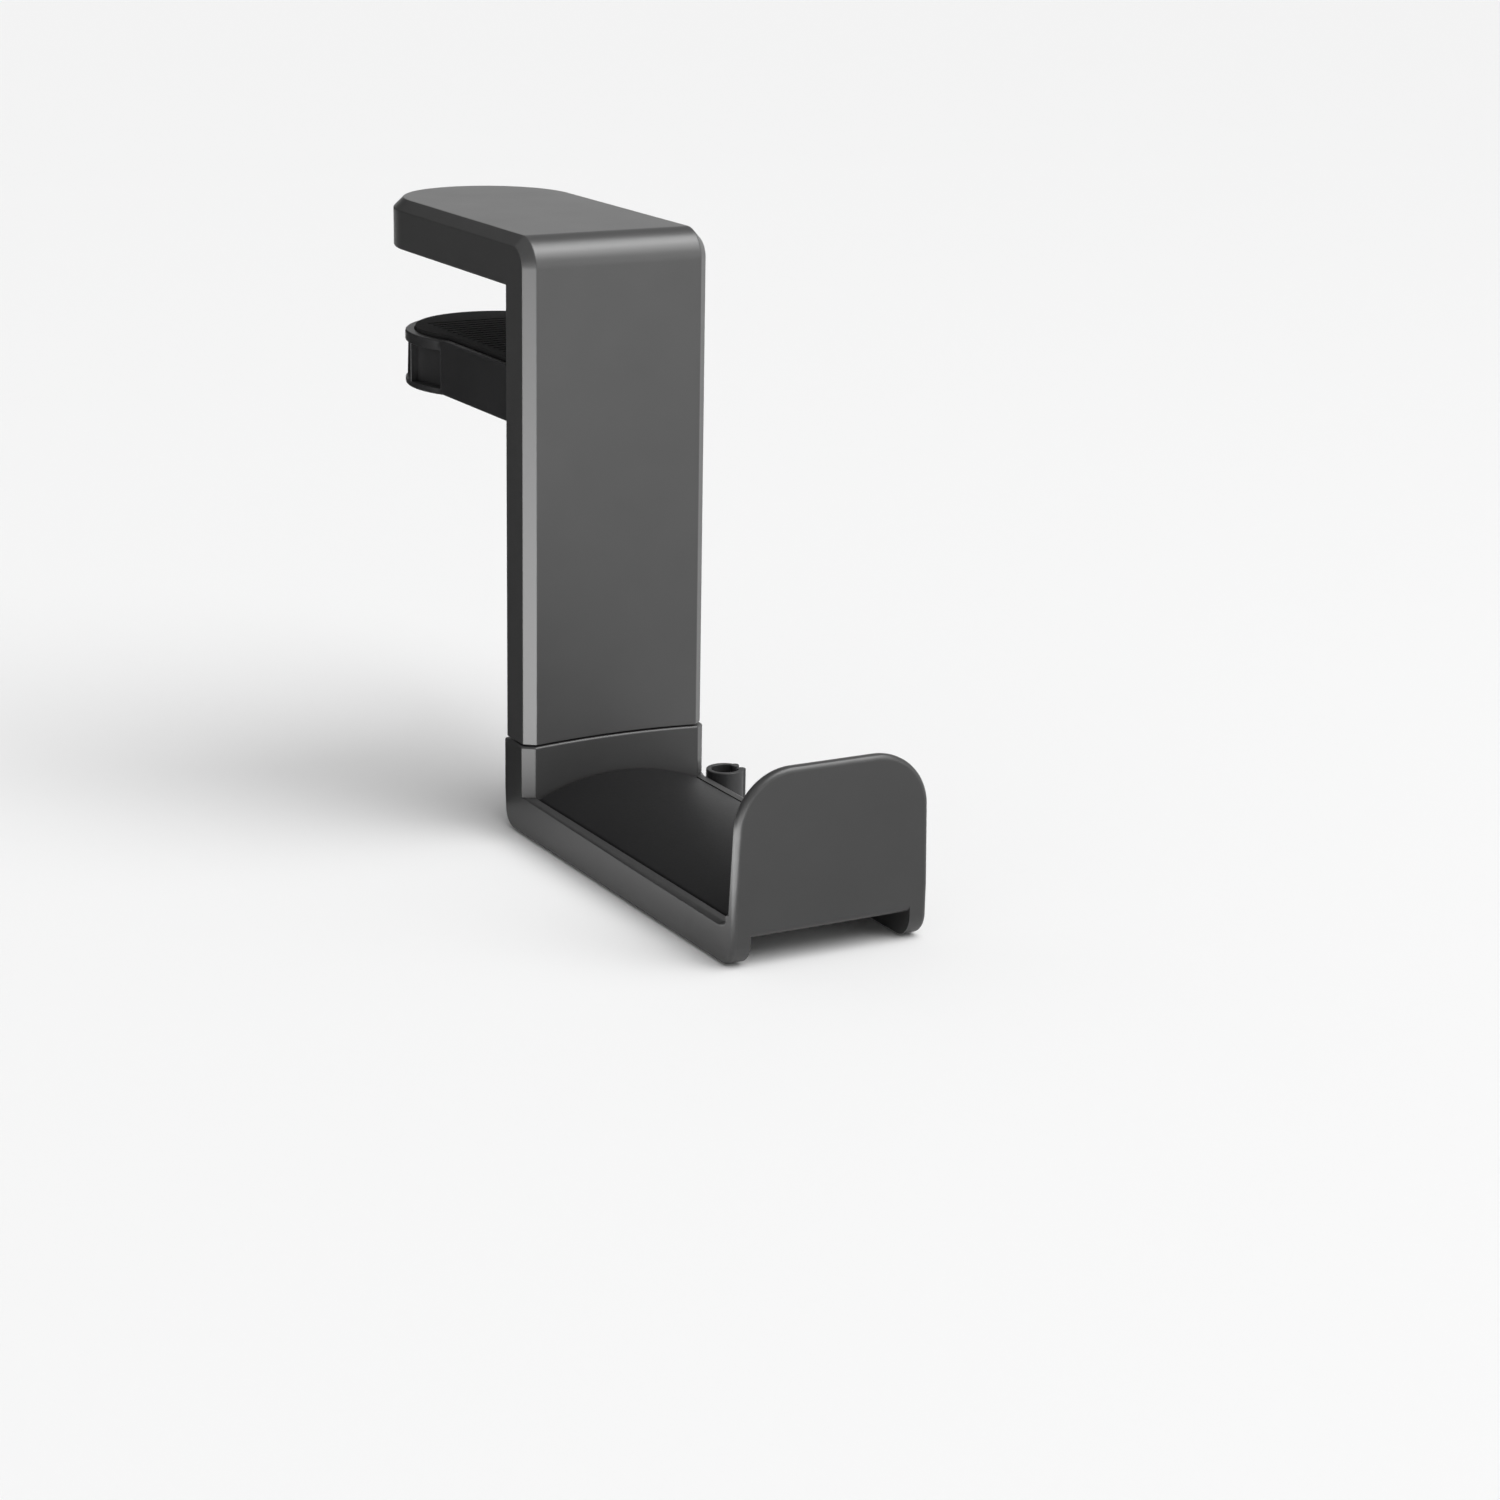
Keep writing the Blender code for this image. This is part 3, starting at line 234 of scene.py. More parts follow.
# ---- finishes ---------------------------------------------------------------------------------
@dataclass(frozen=True)
class Finish:
    """A procedural surface on object coordinates: colour, grain, slight mottling and worn edges."""

    name: str
    slot: Slot
    colour: Colour
    roughness: float
    metallic: float = 0.0
    mottle: float = 0.10
    mottle_size: float = 0.012
    grain_size: float = 0.00025
    grain_depth: float = 0.00001
    grain_gloss: float = 0.06
    edge_lift: float = 0.0
    edge_shade: float = 3.0
    edge_gloss: float = 0.10
    edge_patches: tuple[Point, Point] = ((0.38, 0.35), (0.72, 1.0))
    specular: float = 0.5

    def material(self) -> bpy.types.Material:
        """Build the material, or return it if it is there already."""
        made = bpy.data.materials.get(self.name)
        if made:
            return made
        made = bpy.data.materials.new(self.name)
        made.use_nodes = True
        graph = Graph(made.node_tree)
        shader = made.node_tree.nodes["Principled BSDF"]
        shader.inputs["Metallic"].default_value = self.metallic
        shader.inputs["Specular IOR Level"].default_value = self.specular
        place = graph.node("ShaderNodeTexCoord", output="Object")
        for socket, wire in self.parts(graph, place).items():
            made.node_tree.links.new(wire.socket, shader.inputs[socket])
        return made

    def noise(self, graph: Graph, place: Wire, size: float, detail: float = 3.0) -> Wire:
        """A noise field, 0 to 1, whose features have the given size in metres."""
        sockets = {"Vector": place, "Scale": 1 / size, "Detail": detail}
        return graph.node("ShaderNodeTexNoise", None, sockets)

    def mix(self, graph: Graph, factor: Wire, first: Colour | Wire, second: Colour | Wire) -> Wire:
        """Blend two colours."""

        def colour(value: Colour | Wire) -> tuple | Wire:
            """Add the alpha that a colour socket wants."""
            return value if isinstance(value, Wire) else (*value, 1.0)

        sockets = {"Factor": factor, MIX_A: colour(first), MIX_B: colour(second)}
        return graph.node("ShaderNodeMix", {"data_type": "RGBA"}, sockets, output=2)

    def shade(self, factor: float) -> Colour:
        """The finish's colour, lighter or darker by a factor."""
        return tuple(min(1.0, channel * factor) for channel in self.colour)

    def edge(self, graph: Graph, place: Wire) -> Wire:
        """Where edges are rubbed: the faces of rounded edges, broken up by noise."""
        marked = graph.node("ShaderNodeAttribute", {"attribute_name": EDGE_MARK}, output="Fac")
        broken = self.noise(graph, place, self.mottle_size / 4)
        return marked * graph.node("ShaderNodeValToRGB", {"stops": self.edge_patches}, {0: broken})

    def height(self, graph: Graph, place: Wire) -> Wire:
        """Relief of the surface, 0 to 1 over the grain's depth."""
        return self.noise(graph, place, self.grain_size)

    def parts(self, graph: Graph, place: Wire) -> dict[str, Wire]:
        """The wires that feed the shader's sockets, by socket name."""
        broad = self.noise(graph, place, self.mottle_size, 2.0)
        base = self.mix(graph, broad, self.shade(1 - self.mottle), self.shade(1 + self.mottle))
        rubbed = self.edge(graph, place) * self.edge_lift
        height = self.height(graph, place)
        relief = {"Strength": 1.0, "Distance": self.grain_depth, "Height": height}
        gloss = self.roughness + (height - 0.5) * self.grain_gloss + (broad - 0.5) * self.grain_gloss
        return {
            "Base Color": self.mix(graph, rubbed, base, self.shade(self.edge_shade)),
            "Roughness": gloss - rubbed * self.edge_gloss,
            "Normal": graph.node("ShaderNodeBump", None, relief),
        }


@dataclass(frozen=True)
class PittedFinish(Finish):
    """Spark-eroded plastic or rubber: small round pits instead of a fine grain."""

    pit_size: float = 0.0006
    pit_share: float = 0.7

    def height(self, graph: Graph, place: Wire) -> Wire:
        """Rounded pits with a finer grain over them."""
        sockets = {"Vector": place, "Scale": 1 / self.pit_size}
        cells = graph.node("ShaderNodeTexVoronoi", {"feature": "SMOOTH_F1"}, sockets)
        grain = self.noise(graph, place, self.grain_size)
        return cells * self.pit_share + grain * (1 - self.pit_share)


@dataclass(frozen=True)
class DrawnFinish(Finish):
    """Turned or drawn metal: fine lines across Z, as a lathe or a die leaves them."""

    line_pitch: float = 0.00012
    line_stretch: Place = (0.08, 0.08, 1.0)
    line_share: float = 0.7
    speck_size: float = 0.0008

    def height(self, graph: Graph, place: Wire) -> Wire:
        """Noise stretched round the piece and narrow along Z."""
        drawn = graph.node("ShaderNodeMapping", None, {"Vector": place, "Scale": self.line_stretch})
        lines = self.noise(graph, drawn, self.line_pitch)
        return lines * self.line_share + self.noise(graph, place, self.speck_size) * (1 - self.line_share)


@dataclass(frozen=True)
class SinteredFinish(Finish):
    """Pressed and sintered bronze: a speckle of dark pores."""

    pore_size: float = 0.0003
    pore_edge: float = 2.5
    pore_shade: float = 0.35

    def parts(self, graph: Graph, place: Wire) -> dict[str, Wire]:
        """Darken the colour inside the pores."""
        wires = super().parts(graph, place)
        sockets = {"Vector": place, "Scale": 1 / self.pore_size}
        solid = (graph.node("ShaderNodeTexVoronoi", None, sockets) * self.pore_edge).at_most(1.0)
        wires["Base Color"] = self.mix(graph, solid, self.shade(self.pore_shade), wires["Base Color"])
        return wires


CLAMP_COAT = Finish(
    "satin_graphite_coat", Slot.SHELL, (0.088, 0.088, 0.088), 0.36, metallic=0.45, mottle=0.05,
    grain_size=0.00022, grain_depth=0.000004, grain_gloss=0.05, edge_lift=0.10,
)
HOOK_COAT = Finish(
    "satin_graphite_cast", Slot.HOOK, (0.060, 0.060, 0.060), 0.38, metallic=0.40, mottle=0.06,
    grain_size=0.00026, grain_depth=0.000005, grain_gloss=0.05, edge_lift=0.10,
)
BLACK_PLASTIC = PittedFinish(
    "spark_eroded_plastic", Slot.PLASTIC, (0.022, 0.022, 0.023), 0.46, mottle=0.12,
    grain_size=0.00018, grain_depth=0.00002, edge_lift=0.18, pit_size=0.0005,
)
JAW_PLASTIC = PittedFinish(
    "satin_black_moulding", Slot.PLASTIC, (0.026, 0.026, 0.027), 0.40, mottle=0.10,
    grain_size=0.00018, grain_depth=0.000012, edge_lift=0.15, pit_size=0.0004,
)
GRIP_RUBBER = PittedFinish(
    "matt_grip_rubber", Slot.RUBBER, (0.016, 0.016, 0.016), 0.82, mottle=0.20,
    grain_size=0.0002, grain_depth=0.00003, edge_lift=0.10, specular=0.3, pit_size=0.0007,
)
SADDLE_RUBBER = PittedFinish(
    "soft_saddle_rubber", Slot.SADDLE, (0.010, 0.010, 0.0104), 0.52, mottle=0.12,
    grain_size=0.00022, grain_depth=0.000012, edge_lift=0.12, specular=0.25, pit_size=0.0005,
)
ZINC_STEEL = DrawnFinish(
    "zinc_plated_steel", Slot.STEEL, (0.52, 0.53, 0.55), 0.30, metallic=1.0, mottle=0.10,
    mottle_size=0.003, grain_depth=0.000006, grain_gloss=0.10, edge_lift=0.2,
)
BLACK_STEEL = DrawnFinish(
    "black_zinc_steel", Slot.STEEL, (0.10, 0.10, 0.105), 0.34, metallic=0.9, mottle=0.12,
    mottle_size=0.003, grain_depth=0.000006, grain_gloss=0.10, edge_lift=0.25,
)
SPRING_STEEL = DrawnFinish(
    "spring_steel", Slot.STEEL, (0.36, 0.36, 0.37), 0.34, metallic=1.0, mottle=0.15,
    mottle_size=0.004, grain_depth=0.000005, grain_gloss=0.12,
)
BUSH_BRONZE = SinteredFinish(
    "sintered_bronze", Slot.BRONZE, (0.45, 0.31, 0.17), 0.42, metallic=1.0, mottle=0.12,
    mottle_size=0.002, grain_size=0.0002, grain_depth=0.00001,
)


# ---- outlines and solids ----------------------------------------------------------------------
def arc(centre: Point, radius: float, start: float, end: float, steps: int) -> list[Point]:
    """Points on a circle from one angle to another, both ends included."""
    turn = (end - start) / steps
    return [
        (centre[0] + radius * cos(start + turn * i), centre[1] + radius * sin(start + turn * i))
        for i in range(steps + 1)
    ]


def rounded(corners: Sequence[Point], radii: Sequence[float], steps: int) -> list[Point]:
    """Round the inner corners of an open path.

    Args:
        corners: the path's corners, ends included.
        radii: one radius for each corner; 0 keeps it sharp.
        steps: segments in each rounded corner.

    Returns:
        The rounded path.
    """
    path = [corners[0]]
    for i in range(1, len(corners) - 1):
        corner = Vector(corners[i])
        back = (Vector(corners[i - 1]) - corner).normalized()
        ahead = (Vector(corners[i + 1]) - corner).normalized()
        if radii[i] == 0:
            path.append(corners[i])
            continue
        half = back.angle(ahead) / 2
        middle = corner + (back + ahead).normalized() * radii[i] / sin(half)
        first = corner + back * radii[i] / tan(half) - middle
        last = corner + ahead * radii[i] / tan(half) - middle
        spread = first.angle(last)
        for k in range(steps + 1):
            turn = spread * k / steps
            spoke = (first * sin(spread - turn) + last * sin(turn)) / sin(spread)
            path.append(tuple(middle + spoke))
    return path + [corners[-1]]


def spaced(path: Sequence[Point], longest: float) -> list[Point]:
    """Split the level stretches of a path so that none is longer than the given length."""
    points = [path[0]]
    for start, end in zip(path, path[1:]):
        level = abs(end[1] - start[1]) < MERGE_DISTANCE
        pieces = max(1, ceil(abs(end[0] - start[0]) / longest)) if level else 1
        points += [
            (start[0] + (end[0] - start[0]) * i / pieces, start[1] + (end[1] - start[1]) * i / pieces)
            for i in range(1, pieces + 1)
        ]
    return points


def tongue_outline(half: float, near: float, centre: float, radius: float) -> list[Point]:
    """Plan of a plate with a square near end and a round far end."""
    start = -acos(min(half / radius, 1.0))
    return [(-half, near), (half, near)] + arc((0.0, centre), radius, start, pi - start, 2 * ROUND_STEPS)


def hexagon(centre: Point, half_width: float) -> list[Point]:
    """A hexagon, from half of its width across flats."""
    first = pi / 12
    last = first + 5 * pi / 3
    return arc(centre, half_width / cos(pi / 6), first, last, 5)


def stepped(narrow: float, wide: float, end: float, step: float, mouth: float) -> list[Point]:
    """Profile of a hole that widens at a step, from its narrow end to its mouth."""
    return [(narrow, end), (narrow, step), (wide, step), (wide, mouth)]


def loft(rings: Sequence[Sequence[Vector]], caps: tuple[bool, bool] = (True, True)) -> bmesh.types.BMesh:
    """Join rings of points, each with as many points as the next, into a mesh that faces outwards."""
    solid = bmesh.new()
    layers = [[solid.verts.new(point) for point in ring] for ring in rings]
    for lower, upper in zip(layers, layers[1:]):
        for i, corner in enumerate(lower):
            j = (i + 1) % len(lower)
            solid.faces.new((corner, lower[j], upper[j], upper[i]))
    for wanted, layer in zip(caps, (layers[0], layers[-1])):
        if wanted:
            solid.faces.new(layer)
    bmesh.ops.remove_doubles(solid, verts=solid.verts, dist=MERGE_DISTANCE)
    bmesh.ops.dissolve_degenerate(solid, edges=solid.edges, dist=MERGE_DISTANCE)
    bmesh.ops.recalc_face_normals(solid, faces=solid.faces)
    return solid


def prism(outline: Sequence[Point], axis: Axis, low: float, high: float) -> bmesh.types.BMesh:
    """Extrude a closed outline: (y, z) along X, (x, z) along Y, (x, y) along Z."""

    def place(point: Point, level: float) -> Vector:
        """Put a point of the outline at a level of the axis."""
        if axis is Axis.X:
            return Vector((level, point[0], point[1]))
        if axis is Axis.Y:
            return Vector((point[0], level, point[1]))
        return Vector((point[0], point[1], level))

    return loft([[place(point, level) for point in outline] for level in (low, high)])


def block(low: Sequence[float], high: Sequence[float]) -> bmesh.types.BMesh:
    """A rectangular block between two corners."""
    plan = [(low[0], low[1]), (high[0], low[1]), (high[0], high[1]), (low[0], high[1])]
    return prism(plan, Axis.Z, low[2], high[2])


def turned(profile: Sequence[Point], segments: int, centre: Point = (0.0, 0.0)) -> bmesh.types.BMesh:
    """A solid turned about an upright axis from (radius, height) points, bottom to top."""
    first = pi / segments
    last = 2 * pi - first
    rings = [
        [Vector((x, y, height)) for x, y in arc(centre, radius, first, last, segments - 1)]
        for radius, height in profile
    ]
    return loft(rings)


def turned_to(solid: bmesh.types.BMesh, turn: Matrix, place: Sequence[float]) -> bmesh.types.BMesh:
    """Turn a solid about the origin, then move it."""
    bmesh.ops.transform(solid, matrix=Matrix.Translation(Vector(place)) @ turn, verts=solid.verts)
    return solid


def mesh_object(name: str, solid: bmesh.types.BMesh) -> bpy.types.Object:
    """Link a bmesh to the scene as an object."""
    mesh = bpy.data.meshes.new(name)
    solid.to_mesh(mesh)
    solid.free()
    made = bpy.data.objects.new(name, mesh)
    bpy.context.scene.collection.objects.link(made)
    return made


# ---- places in the CAD frame ------------------------------------------------------------------
def node_points(node: str) -> list[Vector]:
    """The corners of a CAD node's mesh."""
    return [vertex.co for vertex in frame["nodes"][node].data.vertices]


def span(points: Iterable[Vector]) -> tuple[Vector, Vector]:
    """The low and high corners of the box round some points."""
    columns = list(zip(*points))
    return Vector([min(column) for column in columns]), Vector([max(column) for column in columns])


def near_half(node: str) -> float:
    """Half of a CAD node's width at the end that faces the user."""
    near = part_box(node)[0].y + GAP
    return max(point.x for point in node_points(node) if point.y < near)


def centre_of(node: str) -> Vector:
    """The middle of a CAD node's box."""
    low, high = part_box(node)
    return (low + high) / 2


def half_width(node: str) -> float:
    """Half of a CAD node's size along X."""
    low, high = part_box(node)
    return (high.x - low.x) / 2


# ---- Geometry Nodes recipes -------------------------------------------------------------------
class Recipe:
    """A Geometry Nodes tree with named inputs and their values, run once on a piece."""

    KINDS = {
        float: "NodeSocketFloat",
        int: "NodeSocketInt",
        Vector: "NodeSocketVector",
        bpy.types.Object: "NodeSocketObject",
        bpy.types.Material: "NodeSocketMaterial",
    }

    def __init__(self, name: str, values: dict[str, object]) -> None:
        """Start a tree that takes a mesh and an input for each value."""
        self.tree = bpy.data.node_groups.new(name, "GeometryNodeTree")
        self.graph = Graph(self.tree)
        self.values = values
        face = self.tree.interface
        face.new_socket("Geometry", in_out="OUTPUT", socket_type="NodeSocketGeometry")
        face.new_socket("Geometry", in_out="INPUT", socket_type="NodeSocketGeometry")
        kinds = {key: type(value) for key, value in values.items()} | {"Finish": bpy.types.Material}
        self.sockets = {
            key: face.new_socket(key, in_out="INPUT", socket_type=self.KINDS[kind]).identifier
            for key, kind in kinds.items()
        }
        self.start = self.graph.node("NodeGroupInput")

    def given(self, name: str) -> Wire:
        """The wire of an input."""
        return self.graph.same_node(self.start, name)

    def close(self, result: Wire) -> "Recipe":
        """End the tree with its instances made real and its finish set."""
        real = self.graph.node("GeometryNodeRealizeInstances", None, {0: result})
        sockets = {"Geometry": real, "Material": self.given("Finish")}
        dressed = self.graph.node("GeometryNodeSetMaterial", None, sockets)
        end = self.tree.nodes.new("NodeGroupOutput")
        self.tree.links.new(dressed.socket, end.inputs[0])
        return self

    def combine(self, vector: tuple) -> Wire:
        """A vector from three wires or numbers."""
        return self.graph.node("ShaderNodeCombineXYZ", None, dict(enumerate(vector)))

    def placed(self, points: Wire, instance: Wire, turn: Wire | None = None) -> Wire:
        """An instance on every point, turned where a rotation is given."""
        sockets = {"Points": points, "Instance": instance}
        if turn is not None:
            sockets["Rotation"] = turn
        return self.graph.node("GeometryNodeInstanceOnPoints", None, sockets)

    def cut(self, instances: Wire) -> Wire:
        """What is left of the piece when the instances are cut from it."""
        cutters = self.graph.node("GeometryNodeRealizeInstances", None, {0: instances})
        settings = {"operation": "DIFFERENCE", "solver": "EXACT"}
        return self.graph.node("GeometryNodeMeshBoolean", settings, {0: self.start, 1: cutters})

    def run(self, target: bpy.types.Object, finish: bpy.types.Material) -> None:
        """Add the tree to an object as a modifier, its inputs set by identifier."""
        modifier = target.modifiers.new(self.tree.name, "NODES")
        modifier.node_group = self.tree
        for key, value in {**self.values, "Finish": finish}.items():
            modifier[self.sockets[key]] = value


# ---- workpieces -------------------------------------------------------------------------------
class Workpiece:
    """A mesh that is cut, joined, rounded, and set on its body in its finish."""

    def __init__(self, name: str, solid: bmesh.types.BMesh, finish: Finish) -> None:
        """Start from a solid."""
        self.object = mesh_object(name, solid)
        self.finish = finish
        self.object.data.materials.append(finish.material())

    def settle(self) -> None:
        """Replace the mesh by what its modifiers make of it."""
        bpy.context.view_layer.update()
        graph = bpy.context.evaluated_depsgraph_get()
        mesh = bpy.data.meshes.new_from_object(self.object.evaluated_get(graph))
        self.object.modifiers.clear()
        self.object.data = mesh

    def combine(self, operation: Operation, *solids: bmesh.types.BMesh) -> "Workpiece":
        """Cut or join helper solids, which are then deleted."""
        helpers = [mesh_object("helper", solid) for solid in solids]
        for helper in helpers:
            modifier = self.object.modifiers.new(helper.name, "BOOLEAN")
            modifier.operation = operation.value
            modifier.solver = "EXACT"
            modifier.object = helper
        self.settle()
        for helper in helpers:
            bpy.data.objects.remove(helper)
        return self

    def run(self, recipe: Recipe) -> "Workpiece":
        """Run a Geometry Nodes recipe and keep its result."""
        recipe.run(self.object, self.finish.material())
        self.settle()
        self._dress()
        return self

    def round_where(self, radius: float, wanted: Callable[[Vector], bool], steps: int) -> "Workpiece":
        """Round the sharp edges whose middles pass a test."""
        return self.round_edges(lambda middle, normals: radius if wanted(middle) else 0.0, steps)

    def round_edges(self, radius_at: RadiusRule, steps: int) -> "Workpiece":
        """Round the sharp edges and mark the rounded faces for wear.

        Args:
            radius_at: gives an edge's radius from its middle and its faces' normals; 0 keeps it.
            steps: segments across each rounded edge.

        Returns:
            This workpiece.
        """
        mesh = self.object.data
        solid = bmesh.new()
        solid.from_mesh(mesh)
        bmesh.ops.remove_doubles(solid, verts=solid.verts, dist=BOOLEAN_MERGE)
        bmesh.ops.dissolve_limit(solid, angle_limit=COPLANAR, verts=solid.verts, edges=solid.edges)
        solid.normal_update()
        radii = {}
        for edge in solid.edges:
            if len(edge.link_faces) == 2 and edge.calc_face_angle() > SHARP_ANGLE:
                middle = (edge.verts[0].co + edge.verts[1].co) / 2
                radii[edge.index] = radius_at(middle, [f.normal for f in edge.link_faces])
        largest = max(radii.values(), default=0.0)
        weights = solid.edges.layers.float.new("bevel_weight_edge")
        for edge in solid.edges:
            if largest and edge.index in radii:
                edge[weights] = radii[edge.index] / largest
        solid.to_mesh(mesh)
        solid.free()
        mesh.materials.append(self.finish.material())
        if largest:
            modifier = self.object.modifiers.new("round", "BEVEL")
            modifier.limit_method = "WEIGHT"
            modifier.width = largest
            modifier.segments = steps
            modifier.use_clamp_overlap = False
            modifier.material = 1
            self.settle()
        self._mark_edges()
        return self

    def _mark_edges(self) -> None:
        """Turn the rounded faces' material index into a face attribute."""
        mesh = self.object.data
        marks = mesh.attributes.new(EDGE_MARK, "FLOAT", "FACE")
        marks.data.foreach_set("value", [float(p.material_index) for p in mesh.polygons])
        self._dress()

    def _dress(self) -> None:
        """Leave the piece's finish as its only material."""
        mesh = self.object.data
        mesh.polygons.foreach_set("material_index", [0] * len(mesh.polygons))
        mesh.materials.clear()
        mesh.materials.append(self.finish.material())

    def smooth(self) -> "Workpiece":
        """Smooth shading that keeps broad faces flat and hard edges hard."""
        mesh = self.object.data
        mesh.shade_smooth()
        mesh.set_sharp_from_angle(angle=SMOOTH_ANGLE)
        modifier = self.object.modifiers.new("even", "WEIGHTED_NORMAL")
        modifier.keep_sharp = True
        modifier.weight = FLAT_WEIGHT
        self.settle()
        return self

    def seat(self, body: Body, *replaced: str) -> None:
        """Set the piece on its body in place of CAD nodes and report it."""
        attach(self.object, body.value)
        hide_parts(*replaced)
        log.info("%s: %d faces on %s", self.object.name, len(self.object.data.polygons), body.value)


@dataclass(frozen=True)
class Seam:
    """The shallow dome that the column's foot and the hook's top share, round the swivel axis."""

    axis: Point
    height: float
    half_width: float
    rise: float = 0.0007

    def radius(self) -> float:
        """Radius of the dome's sphere."""
        return (self.half_width**2 + self.rise**2) / (2 * self.rise)

    def at(self, x: float, y: float) -> float:
        """Height of the column's foot at a place in plan."""
        out = hypot(x - self.axis[0], y - self.axis[1])
        return self.height + self.rise - (self.radius() - sqrt(self.radius() ** 2 - out**2))


# ---- clamp ------------------------------------------------------------------------------------
@dataclass
class ClampCasting:
    """The upside-down L: column, bend, arm and round far end, one hollow casting."""

    seam: Seam
    chamfer: float = 0.0022
    bend: float = 0.0063
    wall: float = 0.0020
    side_wall: float = 0.0024
    edge_radius: float = 0.00045
    rim_radius: float = 0.0005
    foot_radius: float = 0.00025
    bend_steps: int = 20
    end_steps: int = 36
    strip: float = 0.0018

    def __post_init__(self) -> None:
        """Take the casting's places from the frame."""
        low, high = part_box("clamp_shell")
        self.half = high.x
        self.front = low.y
        self.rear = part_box("rear_cover")[1].y
        self.top = high.z
        self.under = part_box("arm_plate")[0].z
        self.round_y = high.y - self.half

    def half_section(self) -> list[tuple[float, float, bool]]:
        """Half of the channel section, from the middle of the face round the rim to the roof.

        Returns:
            Points as distance from the middle, depth, and whether the depth is up from the rim.
        """
        depth = self.top - self.under
        inner = self.half - self.side_wall
        corner = self.chamfer / 2
        corners = [
            (0.0, 0.0), (self.half - self.chamfer, 0.0), (self.half, self.chamfer), (self.half, depth),
            (inner, depth), (inner, self.wall + corner), (inner - corner, self.wall), (0.0, self.wall),
        ]
        edge, rim = self.edge_radius, self.rim_radius
        radii = [0, edge, edge, rim, rim, edge, edge, 0]
        path = spaced(rounded(corners, radii, 4), self.strip)
        return [(x, depth - d if d > depth / 2 else d, d > depth / 2) for x, d in path]

    def ring(self, place: Placer) -> list[Vector]:
        """One closed ring: the right half, then the left half back to the face."""
        section = self.half_section()
        right = [place(*point, 1) for point in section]
        left = [place(*point, -1) for point in section[-2:0:-1]]
        return right + left

    def foot(self, x: float, depth: float, rim: bool, side: int) -> Vector:
        """A point of the column's foot, on the seam's dome."""
        y = self.rear - depth if rim else self.front + depth
        return Vector((side * x, y, self.seam.at(side * x, y)))

    def bend_point(self, angle: float) -> Placer:
        """Places points on the section at an angle of the bend."""

        def place(x: float, depth: float, rim: bool, side: int) -> Vector:
            """A point of that section; its rim stays at the inner corner."""
            if rim:
                return Vector((side * x, self.rear - depth, self.under + depth))
            reach = self.bend - depth
            y = self.front + self.bend - reach * cos(angle)
            return Vector((side * x, y, self.top - self.bend + reach * sin(angle)))

        return place

    def end_point(self, angle: float) -> Placer:
        """Places points on the section at an angle of the round end."""

        def place(x: float, depth: float, rim: bool, side: int) -> Vector:
            """A point of that section."""
            z = self.under + depth if rim else self.top - depth
            return Vector((side * x * cos(angle), self.round_y + x * sin(angle), z))

        return place

    def build(self) -> None:
        """Make the casting and set it in place."""
        rings = [self.ring(self.foot)]
        for i in range(self.bend_steps + 1):
            rings.append(self.ring(self.bend_point(pi / 2 * i / self.bend_steps)))
        for i in range(self.end_steps + 1):
            rings.append(self.ring(self.end_point(pi / 2 * i / self.end_steps)))
        piece = Workpiece("clamp_casting", loft(rings, (True, False)), CLAMP_COAT)
        foot_top = self.seam.height + self.seam.rise + OVERCUT
        piece.round_where(self.foot_radius, lambda at: at.z < foot_top, 2)
        piece.smooth().seat(Body.CLAMP, "clamp_shell")


@dataclass
class GripPad:
    """A flat rubber pad with cross ribs moulded into the face that grips the desk."""

    node: str
    body: Body
    finish: Finish
    face_up: bool
    rib_pitch: float = 0.0026
    groove_width: float = 0.0009
    groove_depth: float = 0.0004
    border: float = 0.0022
    ribbed_share: float = 0.55
    edge_radius: float = 0.00025

    @staticmethod
    def recipe(values: dict[str, object]) -> Recipe:
        """Grooves cut by a row of bars across the pad."""
        recipe = Recipe("pad_grooves", values)
        bar = recipe.graph.node("GeometryNodeMeshCube", None, {"Size": recipe.given("Bar")})
        step = recipe.combine((0.0, recipe.given("Pitch"), 0.0))
        line = {"Count": recipe.given("Count"), "Start Location": recipe.given("Start"), "Offset": step}
        row = recipe.graph.node("GeometryNodeMeshLine", None, line)
        return recipe.close(recipe.cut(recipe.placed(row, bar)))

    def build(self) -> None:
        """Make the pad and set it in place."""
        low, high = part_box(self.node)
        centre = high.y - high.x
        half = near_half(self.node)
        outline = tongue_outline(half, low.y, centre, high.x)
        pad = Workpiece(self.node + "_ribbed", prism(outline, Axis.Z, low.z, high.z), self.finish)
        pad.round_where(self.edge_radius, lambda at: True, 2)
        first = low.y + self.border
        values = {
            "Count": int((centre + high.x * self.ribbed_share - first) / self.rib_pitch),
            "Pitch": self.rib_pitch,
            "Start": Vector((0.0, first + self.rib_pitch / 2, high.z if self.face_up else low.z)),
            "Bar": Vector((2 * (half - self.border), self.groove_width, 2 * self.groove_depth)),
        }
        pad.run(self.recipe(values)).smooth().seat(self.body, self.node)


